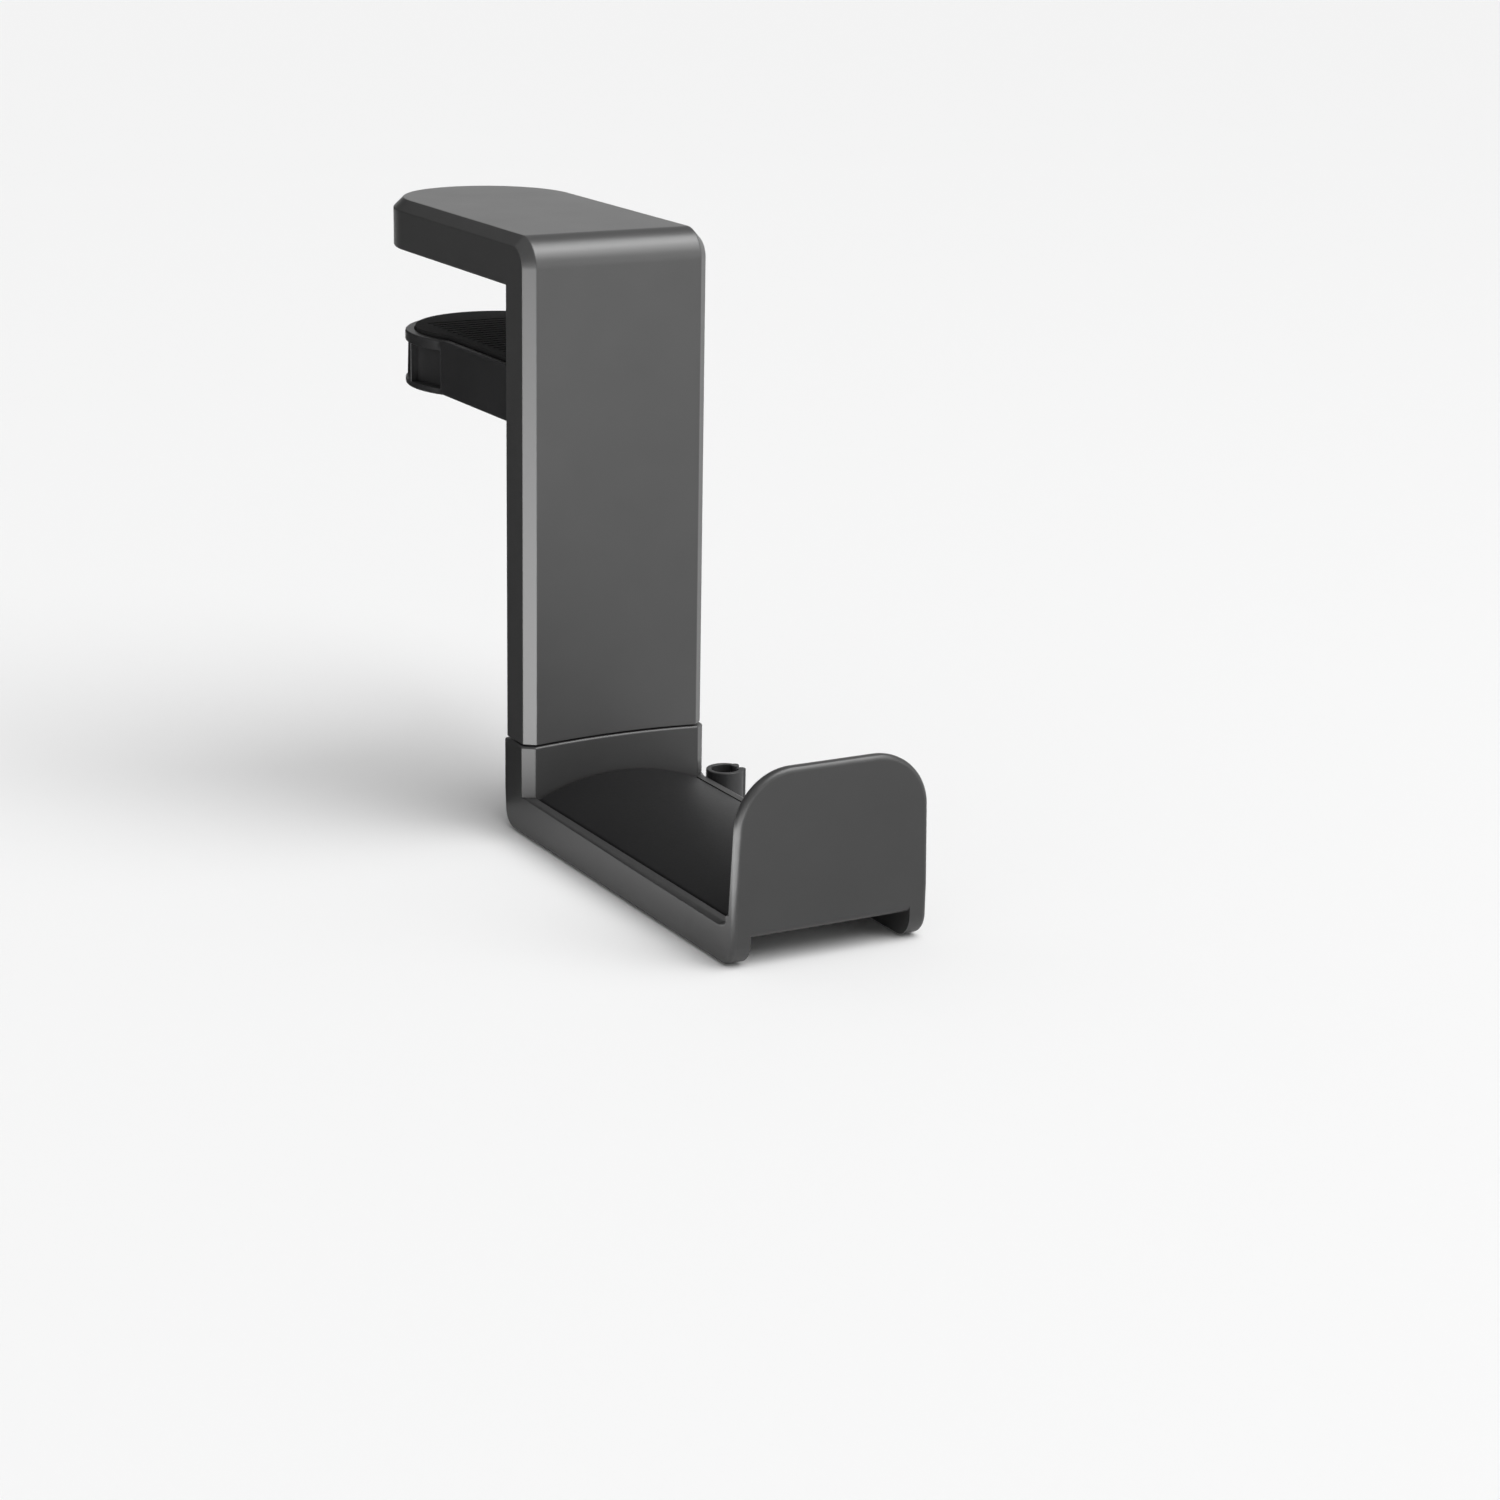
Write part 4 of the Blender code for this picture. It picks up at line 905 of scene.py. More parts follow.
@dataclass
class RearCover:
    """The moulding that closes the column's back, with the slot that the jaw's tongue runs in."""

    slot_half: float = 0.0068
    slot_corner: float = 0.0010
    slot_low: float = -0.0469
    slot_high: float = -0.0038
    slot_steps: int = 6
    shank_share: float = 0.55
    edge_radius: float = 0.0003

    def build(self) -> None:
        """Make the cover and set it in place."""
        low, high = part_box("rear_cover")
        cover = Workpiece("column_cover", block(low, high), BLACK_PLASTIC)
        cutters = [prism(self.slot_outline(), Axis.Y, low.y - OVERCUT, high.y + OVERCUT)]
        cutters += [self.screw_seat(f"cover_screw_{i}", high.y, low.y) for i in COVER_SCREWS]
        cover.combine(Operation.CUT, *cutters)
        cover.round_where(self.edge_radius, lambda at: at.y > high.y - GAP, 3)
        cover.smooth().seat(Body.CLAMP, "rear_cover")

    def slot_outline(self) -> list[Point]:
        """The slot's outline, an upright rectangle with round corners."""
        inner = self.slot_half - self.slot_corner
        low, high = self.slot_low + self.slot_corner, self.slot_high - self.slot_corner
        outline: list[Point] = []
        for i, place in enumerate([(inner, low), (inner, high), (-inner, high), (-inner, low)]):
            outline += arc(place, self.slot_corner, (i - 1) * pi / 2, i * pi / 2, self.slot_steps)
        return outline

    def screw_seat(self, node: str, outer: float, inner: float) -> bmesh.types.BMesh:
        """The stepped hole that a screw sits in."""
        middle = centre_of(node)
        head = half_width(node) + GAP
        end, mouth = inner - OVERCUT, outer + OVERCUT
        seat = stepped(head * self.shank_share, head, end, outer - SCREW_SEAT, mouth)
        upright = Matrix.Rotation(-pi / 2, 4, "X")
        return turned_to(turned(seat, ROUND_STEPS), upright, (middle.x, 0.0, middle.z))


@dataclass
class ArmPlate:
    """The moulding that closes the arm's underside, with the recess that the top pad lies in."""

    edge_radius: float = 0.0003

    def build(self) -> None:
        """Make the plate and set it in place."""
        low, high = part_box("arm_plate")
        centre = high.y - high.x
        outline = tongue_outline(high.x, low.y, centre, high.x)
        plate = Workpiece("arm_cover", prism(outline, Axis.Z, low.z, high.z), BLACK_PLASTIC)
        pad_low, pad_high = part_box("top_pad")
        seat_half = pad_high.x + GAP
        seat = tongue_outline(seat_half, pad_low.y - GAP, centre, seat_half)
        plate.combine(Operation.CUT, prism(seat, Axis.Z, low.z - OVERCUT, pad_high.z + GAP))
        plate.round_where(self.edge_radius, lambda at: at.z < low.z + GAP / 2, 2)
        plate.smooth().seat(Body.CLAMP, "arm_plate")


@dataclass
class ScrewSet:
    """Pan-head screws with a hexagon recess, in place of the CAD screws of one body."""

    name: str
    body: Body
    nodes: dict[str, tuple[int, int, int]]
    finish: Finish = BLACK_STEEL
    head_height: float = 0.0011
    recess: float = 0.0009
    recess_depth: float = 0.0008
    shank_share: float = 0.55
    tip_share: float = 0.6
    tip_taper: float = 0.4
    bearing_share: float = 0.96
    lower_round: float = 0.0003
    upper_round: float = 0.0006

    @staticmethod
    def length(node: str, facing: tuple[int, int, int]) -> float:
        """A CAD screw's length along the way it faces."""
        low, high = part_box(node)
        return (high - low).dot(Vector([abs(n) for n in facing]))

    def screw(self) -> bpy.types.Object:
        """One screw, its head's top at the origin and its shank below it."""
        name, facing = next(iter(self.nodes.items()))
        low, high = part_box(name)
        length = self.length(name, facing)
        head = min(high - low) / 2
        shank = head * self.shank_share
        neck = -self.head_height
        profile = [(shank * self.tip_share, -length), (shank, -length + shank * self.tip_taper)]
        profile += [(shank, neck), (head * self.bearing_share, neck)]
        lower, upper = self.lower_round, self.upper_round
        profile += arc((head - lower, neck + lower), lower, -pi / 4, 0.0, 3)
        profile += arc((head - upper, -upper), upper, 0.0, pi / 2, 6)
        piece = Workpiece("screw", turned(profile, ROUND_STEPS), self.finish)
        socket = hexagon((0.0, 0.0), self.recess)
        piece.combine(Operation.CUT, prism(socket, Axis.Z, -self.recess_depth, OVERCUT))
        return piece.object

    @staticmethod
    def recipe(screw: bpy.types.Object) -> Recipe:
        """One screw on each place, turned to its facing."""
        recipe = Recipe("screw_set", {"Screw": screw})
        graph = recipe.graph
        shape = graph.node("GeometryNodeObjectInfo", None, {"Object": recipe.given("Screw")}, "Geometry")
        vector = {"data_type": "FLOAT_VECTOR"}
        facing = graph.node("GeometryNodeInputNamedAttribute", vector, {"Name": "facing"})
        turn = graph.node("FunctionNodeAlignRotationToVector", {"axis": "Z"}, {"Vector": facing})
        return recipe.close(recipe.placed(recipe.start, shape, turn))

    def build(self) -> None:
        """Place the screws, keep them as one mesh and set it on its body."""
        places = bmesh.new()
        layer = places.verts.layers.float_vector.new("facing")
        for node, facing in self.nodes.items():
            top = centre_of(node) + Vector(facing) * self.length(node, facing) / 2
            places.verts.new(top)[layer] = Vector(facing)
        screw = self.screw()
        row = Workpiece(self.name, places, self.finish)
        row.run(self.recipe(screw)).smooth()
        bpy.data.objects.remove(screw)
        row.seat(self.body, *self.nodes)


@dataclass
class GuideSprings:
    """The two compression springs that push the jaw up; their ends are closed and lie flat."""

    wire: float = 0.0003
    turns: float = 13.0
    closed_turns: float = 1.5
    steps_per_turn: int = 28
    wire_sides: int = 10

    def recipe(self, values: dict[str, object]) -> Recipe:
        """A round wire along a helix whose pitch closes at both ends, on each place."""
        recipe = Recipe("springs", values)
        graph = recipe.graph
        turns, closed, wire = recipe.given("Turns"), recipe.given("Closed"), recipe.given("Wire")
        line = graph.node("GeometryNodeCurvePrimitiveLine")
        steps = {"Curve": line, "Count": recipe.given("Steps")}
        path = graph.node("GeometryNodeResampleCurve", None, steps)
        done = graph.node("GeometryNodeSplineParameter", output="Factor") * turns
        lead = done.at_most(closed)
        tail = (done - (turns - closed)).at_least(0.0)
        share = (done - lead - tail) / (turns - 2 * closed)
        free = recipe.given("Length") - wire * 2 - wire * 4 * closed
        height = wire + (lead + tail) * wire * 2 + share * free
        angle = done * (2 * pi)
        coil = recipe.given("Coil")
        spot = recipe.combine((angle.cosine() * coil, angle.sine() * coil, height))
        helix = graph.node("GeometryNodeSetPosition", None, {"Geometry": path, "Position": spot})
        section = {"Resolution": self.wire_sides, "Radius": wire}
        circle = graph.node("GeometryNodeCurvePrimitiveCircle", None, section)
        sweep = {"Curve": helix, "Profile Curve": circle, "Fill Caps": True}
        coil_mesh = graph.node("GeometryNodeCurveToMesh", None, sweep)
        return recipe.close(recipe.placed(recipe.start, coil_mesh))

    def build(self) -> None:
        """Wind both springs and stretch them between the clamp and the jaw."""
        low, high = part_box("jaw_spring_left")
        places = bmesh.new()
        for side in ("left", "right"):
            middle = centre_of(f"jaw_spring_{side}")
            places.verts.new((middle.x, middle.y, low.z))
        springs = Workpiece("jaw_springs", places, SPRING_STEEL)
        values = {
            "Turns": self.turns,
            "Closed": self.closed_turns,
            "Coil": half_width("jaw_spring_left") - self.wire,
            "Wire": self.wire,
            "Length": high.z - low.z,
            "Steps": int(self.turns * self.steps_per_turn),
        }
        springs.run(self.recipe(values)).smooth()
        piece = springs.object
        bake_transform(piece)
        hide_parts("jaw_spring_left", "jaw_spring_right")
        log.info("%s: %d faces between clamp and jaw", piece.name, len(piece.data.polygons))


# ---- jaw --------------------------------------------------------------------------------------
@dataclass
class Jaw:
    """The sprung jaw: an arm with a round end whose edge is cored out between ribs."""

    seat_margin: float = 0.0019
    rib: float = 0.0011
    ribs: int = 12
    pocket_depth: float = 0.0026
    rim: float = 0.0014
    screw_depth: float = 0.006
    shank_share: float = 0.6
    edge_radius: float = 0.0005
    fine_radius: float = 0.0002

    def __post_init__(self) -> None:
        """Take the jaw's places from the frame."""
        self.low, self.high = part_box("jaw_arm")
        self.radius = self.high.x
        self.centre = self.high.y - self.high.x
        self.half = near_half("jaw_arm")

    @staticmethod
    def recipe(values: dict[str, object]) -> Recipe:
        """Pockets cut by wedge blocks set round the end."""
        recipe = Recipe("jaw_pockets", values)
        graph = recipe.graph
        start, sweep = recipe.given("Start"), recipe.given("Sweep")
        round_end = {
            "Resolution": recipe.given("Count"), "Radius": recipe.given("Radius"),
            "Start Angle": start, "Sweep Angle": sweep,
        }
        path = graph.node("GeometryNodeCurveArc", {"mode": "RADIUS"}, round_end)
        angle = start + sweep * graph.node("GeometryNodeSplineParameter", output="Factor")
        euler = {"Euler": recipe.combine((0.0, 0.0, angle))}
        turn = graph.node("FunctionNodeEulerToRotation", None, euler)
        held = graph.node("GeometryNodeCaptureAttribute", None, {"Geometry": path})
        capture = held.socket.node
        capture.capture_items.new("ROTATION", "turn")
        graph.tree.links.new(turn.socket, capture.inputs[1])
        wedge = graph.node("GeometryNodeMeshCube", None, {"Size": recipe.given("Block")})
        blocks = recipe.placed(held, wedge, graph.same_node(held, 1))
        move = {"Geometry": blocks, "Translation": recipe.given("Centre")}
        return recipe.close(recipe.cut(graph.node("GeometryNodeTransform", None, move)))

    def build(self) -> None:
        """Make the jaw and set it in place."""
        low, high = self.low, self.high
        outline = tongue_outline(self.half, low.y, self.centre, self.radius)
        jaw = Workpiece("jaw_moulding", prism(outline, Axis.Z, low.z, high.z), JAW_PLASTIC)
        pad_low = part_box("jaw_pad")[0]
        margin = self.seat_margin
        seat = tongue_outline(self.half - margin, pad_low.y - GAP, self.centre, self.radius - margin)
        cutters = [prism(seat, Axis.Z, pad_low.z - GAP, high.z + OVERCUT), self.tongue_box()]
        cutters += [self.screw_seat(f"jaw_screw_{i}") for i in (1, 2)]
        jaw.combine(Operation.CUT, *cutters)
        pocket_low = low.z + self.rim
        pocket_high = pad_low.z - GAP - self.rim
        first = -acos(self.half / self.radius)
        count = int((pi - 2 * first) / (2 * pi / self.ribs))
        pitch = (pi - 2 * first) / count
        chord = 2 * self.radius * sin(pitch / 2) - self.rib
        values = {
            "Count": count,
            "Radius": self.radius,
            "Start": first + pitch / 2,
            "Sweep": pi - 2 * first - pitch,
            "Centre": Vector((0.0, self.centre, (pocket_low + pocket_high) / 2)),
            "Block": Vector((2 * self.pocket_depth, chord, pocket_high - pocket_low)),
        }
        jaw.run(self.recipe(values))
        jaw.round_edges(self.radius_at, 3).smooth().seat(Body.JAW, "jaw_arm")

    def radius_at(self, middle: Vector, normals: list[Vector]) -> float:
        """Outer edges are rounder than the pockets' and the recesses'."""
        reach = hypot(middle.x, middle.y - self.centre)
        on_side = abs(abs(middle.x) - self.half) < GAP / 2 or reach > self.radius - GAP / 2
        level = middle.z < self.low.z + GAP / 2 or middle.z > self.high.z - GAP / 2
        if on_side and level:
            return self.edge_radius
        if reach > self.radius - GAP and middle.y > self.low.y + OVERCUT:
            return self.fine_radius
        return self.fine_radius if level and middle.z < self.low.z + GAP else 0.0

    def tongue_box(self) -> bmesh.types.BMesh:
        """The socket that the carriage's tongue plugs into."""
        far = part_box("jaw_carriage")[1].y
        low, high = span(point for point in node_points("jaw_carriage") if point.y > far - GAP)
        return block(
            (low.x - GAP, self.low.y - OVERCUT, low.z - GAP), (high.x + GAP, far + GAP, high.z + GAP)
        )

    def screw_seat(self, node: str) -> bmesh.types.BMesh:
        """The stepped hole that a jaw screw sits in."""
        middle = centre_of(node)
        head = half_width(node) + GAP
        top, seat = self.low.z + self.screw_depth, self.low.z + SCREW_SEAT
        profile = stepped(head * self.shank_share, head, top, seat, self.low.z - OVERCUT)
        return turned(profile[::-1], ROUND_STEPS, (middle.x, middle.y))


# ---- hook -------------------------------------------------------------------------------------
@dataclass
class HookCasting:
    """The swivelling hook: upright, tray with its side skirts, and the front plate."""

    seam: Seam
    chamfer: float = 0.0022
    upright_height: float = 0.0111
    upright_roof: float = 0.0032
    web: float = 0.0026
    skirt_wall: float = 0.0039
    wall: float = 0.0020
    rear_corner: float = 0.0040
    front_corner: float = 0.0050
    plate: float = 0.0026
    plate_corner: float = 0.0118
    taper: float = radians(2.0)
    lean: float = radians(1.0)
    fillet: float = 0.0030
    seat_depth: float = 0.0012
    chamfer_radius: float = 0.0005
    rim_radius: float = 0.0010
    lip_radius: float = 0.0014
    skirt_radius: float = 0.0005
    fine_radius: float = 0.00045
    upright_limit: float = 0.5
    slices: int = 24
    seam_steps: int = 6
    corner_steps: tuple[int, int] = (10, 12)
    fillet_steps: int = 8
    plate_steps: int = 28

    def __post_init__(self) -> None:
        """Take the hook's places from the frame."""
        low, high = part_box("hook_frame")
        self.half = high.x
        self.rear = high.y
        self.skirt_z = low.z
        self.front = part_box("clamp_shell")[0].y - GAP
        self.floor = self.seam.height - GAP - self.upright_height
        self.web_z = self.floor - self.web
        plate = [point for point in node_points("hook_frame") if point.y < self.front - OVERCUT]
        self.plate_top = max(point.z for point in plate)
        self.foot_y = low.y + tan(self.lean) * (self.plate_top - self.web_z)
        self.stem = self.stem_box()
        self.pivot_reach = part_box("friction_disc")[1].x + 2 * GAP

    def side_profile(self, x: float) -> list[Point]:
        """Side outline (y, z) at one slice, from the upright's foot round to the tray's floor."""
        lean = tan(self.lean)
        top_y = self.foot_y - lean * (self.plate_top - self.web_z)
        inner_foot = self.foot_y - lean * (self.floor - self.web_z) + self.plate
        back, front = self.rear_corner, self.front_corner
        back_steps, front_steps = self.corner_steps
        outline = arc((self.rear - back, self.skirt_z + back), back, 0.0, -pi / 2, back_steps)
        outline += arc((self.foot_y + front, self.skirt_z + front), front, -pi / 2, -pi, front_steps)
        outline += [(self.foot_y, self.web_z), (top_y, self.plate_top)]
        outline.append((top_y + self.plate, self.plate_top))
        fillet_centre = (inner_foot + self.fillet, self.floor + self.fillet)
        outline += arc(fillet_centre, self.fillet, pi, 3 * pi / 2, self.fillet_steps)
        outline.append((self.front, self.floor))
        for i in range(self.seam_steps + 1):
            y = self.front + (self.rear - self.front) * i / self.seam_steps
            outline.append((y, self.seam.at(x, y) - GAP))
        return outline

    def corner_cutter(self, side: int) -> bmesh.types.BMesh:
        """Everything outside one top corner of the front plate and its tapered side."""
        foot = self.floor + self.fillet
        centre_z = self.plate_top - self.plate_corner
        edge_x = self.half - tan(self.taper) * (centre_z - foot)
        centre = (edge_x - self.plate_corner / cos(self.taper), centre_z)
        far = self.half + OVERCUT
        top = self.plate_top + OVERCUT
        outline = [(far, foot), (self.half, foot)]
        outline += arc(centre, self.plate_corner, self.taper, pi / 2, self.plate_steps)
        outline += [(centre[0], top), (far, top)]
        outline = [(side * x, z) for x, z in outline]
        deep = self.foot_y + self.plate + self.fillet + OVERCUT
        return prism(outline, Axis.Y, self.foot_y - 6 * OVERCUT, deep)

    def chamfer_cutter(self, side: int) -> bmesh.types.BMesh:
        """The upright's front corner, down to the floor."""
        inner = self.half - self.chamfer
        tangent = self.chamfer_radius * tan(pi / 8)
        diagonal = [
            (self.half + OVERCUT, self.front + self.chamfer + OVERCUT), (inner, self.front),
            (inner - tangent, self.front),
        ]
        plan = rounded(diagonal, [0, self.chamfer_radius, 0], 4)
        plan += [(inner - tangent, self.front - OVERCUT), (self.half + OVERCUT, self.front - OVERCUT)]
        plan = [(side * x, y) for x, y in plan]
        return prism(plan, Axis.Z, self.floor, self.seam.height + 2 * OVERCUT)

    def channel_cutter(self) -> bmesh.types.BMesh:
        """The space between the skirts and inside the upright."""
        half = self.half - self.skirt_wall
        front = self.foot_y - 2 * OVERCUT
        inner = self.rear - self.wall
        roof = self.seam.height - GAP - self.upright_roof
        outline = [(front, self.skirt_z - OVERCUT), (inner, self.skirt_z - OVERCUT), (inner, roof)]
        outline += [(self.front + self.wall, roof), (self.front + self.wall, self.web_z)]
        lip = self.lip_radius
        outline += arc((self.foot_y + lip, self.web_z + lip), lip, -pi / 2, -pi, self.fillet_steps)
        outline.append((front, self.web_z + lip))
        return prism(outline, Axis.X, -half, half)

    def build(self) -> None:
        """Make the hook and set it in place."""
        xs = [-self.half + 2 * self.half * i / self.slices for i in range(self.slices + 1)]
        slices = [[Vector((x, y, z)) for y, z in self.side_profile(x)] for x in xs]
        hook = Workpiece("hook_casting", loft(slices), HOOK_COAT)
        cutters = [self.corner_cutter(1), self.corner_cutter(-1)]
        cutters += [self.chamfer_cutter(1), self.chamfer_cutter(-1), self.channel_cutter()]
        cutters += [self.pivot_cutter(), self.seat_cutter(), block(*self.stem)]
        for number in (1, 2):
            middle = centre_of(f"saddle_screw_{number}")
            hole = half_width(f"saddle_screw_{number}") / 2 + 2 * GAP
            bore = [(hole, self.web_z - OVERCUT), (hole, self.floor)]
            cutters.append(turned(bore, ROUND_STEPS, (middle.x, middle.y)))
        hook.combine(Operation.CUT, *cutters)
        hook.round_edges(self.radius_at, 4).smooth().seat(Body.HOOK, "hook_frame")

    def pivot_cutter(self) -> bmesh.types.BMesh:
        """The bolt's bore and the recess that the friction disc lies in."""
        low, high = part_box("friction_disc")
        shank = half_width("pivot_bolt") - BOLT_SHOULDER + GAP
        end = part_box("pivot_bolt")[0].z
        profile = stepped(shank, high.x + GAP, end, low.z - GAP, high.z + 2 * OVERCUT)
        return turned(profile, BOLT_STEPS, self.seam.axis)

    def seat_cutter(self) -> bmesh.types.BMesh:
        """The recess in the tray's floor that the saddle sits in."""
        low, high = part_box("saddle_pad")
        return block(
            (low.x - GAP, low.y - GAP, self.floor - self.seat_depth),
            (high.x + GAP, self.front - GAP / 2, self.floor + OVERCUT),
        )

    def stem_box(self) -> tuple[Vector, Vector]:
        """The opening in the side wall that the cable clip's stem comes through."""
        inside = [point for point in node_points("cable_clip") if point.x < self.half - GAP]
        low, high = span(inside)
        gap = Vector((GAP, GAP, GAP))
        low, high = low - gap, high + gap
        low.x = self.half - self.skirt_wall - OVERCUT
        high.x = self.half + OVERCUT
        return low, high

    def radius_at(self, middle: Vector, normals: list[Vector]) -> float:
        """The plate's rim is almost a full round; the tray, the skirts and the seam are finer."""
        low, high = self.stem
        if middle.x > low.x and low.y - GAP < middle.y < high.y + GAP and low.z < middle.z < high.z:
            return 0.0
        on_side = abs(middle.x) > self.half - GAP
        near_plate = middle.y < self.foot_y + self.plate + GAP
        above_fillet = middle.z > self.floor + self.fillet / 2
        if near_plate and above_fillet or on_side and not above_fillet:
            return self.rim_radius
        if middle.z > self.floor + GAP and middle.y > self.front - GAP:
            upright_edge = all(abs(normal.z) < self.upright_limit for normal in normals)
            inside = hypot(middle.x, middle.y - self.seam.axis[1]) < self.pivot_reach
            return 0.0 if inside or upright_edge and middle.y < self.rear - GAP else self.fine_radius
        if middle.z < self.skirt_z + GAP and abs(middle.x) > self.half - self.skirt_wall - GAP:
            return self.skirt_radius
        return 0.0


@dataclass
class Saddle:
    """The crowned pad on the tray that the headband lies on."""

    crown: float = 0.0040
    end_radius: float = 0.0006
    columns: int = 49
    rows: int = 25

    @staticmethod
    def recipe(values: dict[str, object]) -> Recipe:
        """A block whose top follows a circle's arc across the tray."""
        recipe = Recipe("saddle_crown", values)
        graph = recipe.graph
        grid = {
            "Size X": recipe.given("Width"), "Size Y": recipe.given("Length"),
            "Vertices X": recipe.given("Columns"), "Vertices Y": recipe.given("Rows"),
        }
        sheet = graph.node("GeometryNodeMeshGrid", None, grid)
        lift = {"Mesh": sheet, "Offset Scale": OVERCUT, "Individual": False}
        raised = graph.node("GeometryNodeExtrudeMesh", None, lift)
        across = graph.node("ShaderNodeSeparateXYZ", None, {0: graph.node("GeometryNodeInputPosition")})
        along = graph.same_node(across, 1)
        radius = recipe.given("Radius")
        fall = radius - (radius * radius - across * across).root()
        height = recipe.given("Top") - fall - recipe.given("Base")
        crowned = {
            "Geometry": raised, "Selection": graph.same_node(raised, "Top"),
            "Position": recipe.combine((across, along, height)),
        }
        shaped = graph.node("GeometryNodeSetPosition", None, crowned)
        under = graph.node("GeometryNodeFlipFaces", None, {"Mesh": sheet})
        joined = graph.node("GeometryNodeJoinGeometry", None, {0: [shaped, under]})
        weld = {"Geometry": joined, "Distance": MERGE_DISTANCE}
        closed = graph.node("GeometryNodeMergeByDistance", None, weld)
        move = {"Geometry": closed, "Translation": recipe.given("Middle")}
        return recipe.close(graph.node("GeometryNodeTransform", None, move))

    def build(self) -> None:
        """Make the saddle and set it in place."""
        low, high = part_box("saddle_pad")
        middle = centre_of("saddle_pad")
        saddle = Workpiece("saddle_crowned", bmesh.new(), SADDLE_RUBBER)
        values = {
            "Width": 2 * high.x,
            "Length": high.y - low.y,
            "Columns": self.columns,
            "Rows": self.rows,
            "Radius": (high.x**2 + self.crown**2) / (2 * self.crown),
            "Base": low.z,
            "Top": high.z,
            "Middle": Vector((middle.x, middle.y, low.z)),
        }
        saddle.run(self.recipe(values))
        saddle.round_where(self.end_radius, lambda at: at.z > low.z + GAP, 4)
        saddle.smooth().seat(Body.HOOK, "saddle_pad")


@dataclass
class CableClip:
    """An open ring beside the hook that a cable snaps into, with a bead at each lip."""

    wall: float = 0.0011
    opening: float = radians(50.0)
    bead: float = 0.00097
    ring_steps: int = 56
    bead_steps: int = 28
    edge_radius: float = 0.00022

    def build(self) -> None:
        """Make the clip and set it in place."""
        low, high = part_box("cable_clip")
        hook_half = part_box("hook_frame")[1].x
        radius = (high.y - low.y) / 2
        centre = (hook_half + GAP + radius, (low.y + high.y) / 2)
        start, end = self.opening / 2, 2 * pi - self.opening / 2
        outline = arc(centre, radius, start, end, self.ring_steps)
        outline += arc(centre, radius - self.wall, end, start, self.ring_steps)
        clip = Workpiece("cable_ring", prism(outline, Axis.Z, low.z, high.z), BLACK_PLASTIC)
        bead = [(self.bead, low.z), (self.bead, high.z)]
        lips = arc(centre, radius - self.wall / 2, start, -start, 1)
        beads = [turned(bead, self.bead_steps, lip) for lip in lips]
        inside = [point for point in node_points("cable_clip") if point.x < hook_half - GAP]
        stem_low, stem_high = span(inside)
        stem_high.x = centre[0] - radius + self.wall / 2
        clip.combine(Operation.JOIN, *beads, block(stem_low, stem_high))
        clip.round_where(self.edge_radius, lambda at: not low.z + GAP / 2 <= at.z <= high.z - GAP / 2, 3)
        clip.smooth().seat(Body.HOOK, "cable_clip")


@dataclass
class PivotBolt:
    """The swivel bolt: a low head with a hexagon socket, seen from below inside the upright."""

    socket: float = 0.0014
    socket_depth: float = 0.0015
    head_height: float = 0.0026
    head_round: float = 0.0004
    tip: float = 0.0006
    tip_share: float = 0.7

    def build(self) -> None:
        """Make the bolt and set it in place."""
        low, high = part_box("pivot_bolt")
        head = half_width("pivot_bolt")
        shank = head - BOLT_SHOULDER
        axis = tuple(centre_of("pivot_bolt").xy)
        head_top = low.z + self.head_height
        flat = head - self.head_round
        profile = [(flat, low.z)]
        profile += arc((flat, low.z + self.head_round), self.head_round, -pi / 2, 0.0, 4)
        profile += [(head, head_top), (shank, head_top), (shank, high.z - self.tip)]
        profile.append((shank * self.tip_share, high.z))
        bolt = Workpiece("swivel_bolt", turned(profile, BOLT_STEPS, axis), ZINC_STEEL)
        socket = hexagon(axis, self.socket)
        bolt.combine(Operation.CUT, prism(socket, Axis.Z, low.z - OVERCUT, low.z + self.socket_depth))
        bolt.smooth().seat(Body.CLAMP, "pivot_bolt")


class InnerWorks:
    """CAD nodes whose shape is right already: they keep it and get their finish."""

    FINISHES = {
        "base_block": BLACK_PLASTIC,
        "jaw_carriage": BLACK_PLASTIC,
        "guide_rod_left": ZINC_STEEL,
        "guide_rod_right": ZINC_STEEL,
        "bush_left": BUSH_BRONZE,
        "bush_right": BUSH_BRONZE,
        "pivot_nut": ZINC_STEEL,
        "wave_washer": ZINC_STEEL,
        "friction_disc": BLACK_PLASTIC,
    }

    def dress(self) -> None:
        """Assign each node its finish."""
        for name, finish in self.FINISHES.items():
            node = frame["nodes"][name]
            for place in node.material_slots:
                place.material = finish.material()
            log.info("%s: CAD node in %s", name, finish.name)


# ---- studio -----------------------------------------------------------------------------------
@dataclass(frozen=True)
class Softbox:
    """A rectangular area light aimed at a point."""

    name: str
    place: Place
    aim: Place
    size: Point
    power: float

    def build(self) -> None:
        """Hang the light."""
        lamp = bpy.data.lights.new(self.name, "AREA")
        lamp.shape = "RECTANGLE"
        lamp.size, lamp.size_y = self.size
        hang(lamp, self.power, self.place, Vector(self.aim) - Vector(self.place))


@dataclass(frozen=True)
class Sun:
    """A wide, soft light from far away that lights the floor evenly."""

    name: str
    way: Place
    spread: float
    power: float

    def build(self) -> None:
        """Hang the light."""
        lamp = bpy.data.lights.new(self.name, "SUN")
        lamp.angle = self.spread
        hang(lamp, self.power, UP, Vector(self.way))


@dataclass(frozen=True)
class Card:
    """A black or glowing card that only shows in reflections, to darken or lift one face."""

    name: str
    place: Place
    way: Place
    size: Point
    glow: float = 0.0

    def build(self) -> None:
        """Set the card up, facing its way."""
        card = flat_sheet(self.name, self.size, self.place, self.way)
        paint(card, self.name, BLACK, self.glow)
        card.visible_camera = False
        card.visible_diffuse = False
        card.visible_shadow = False


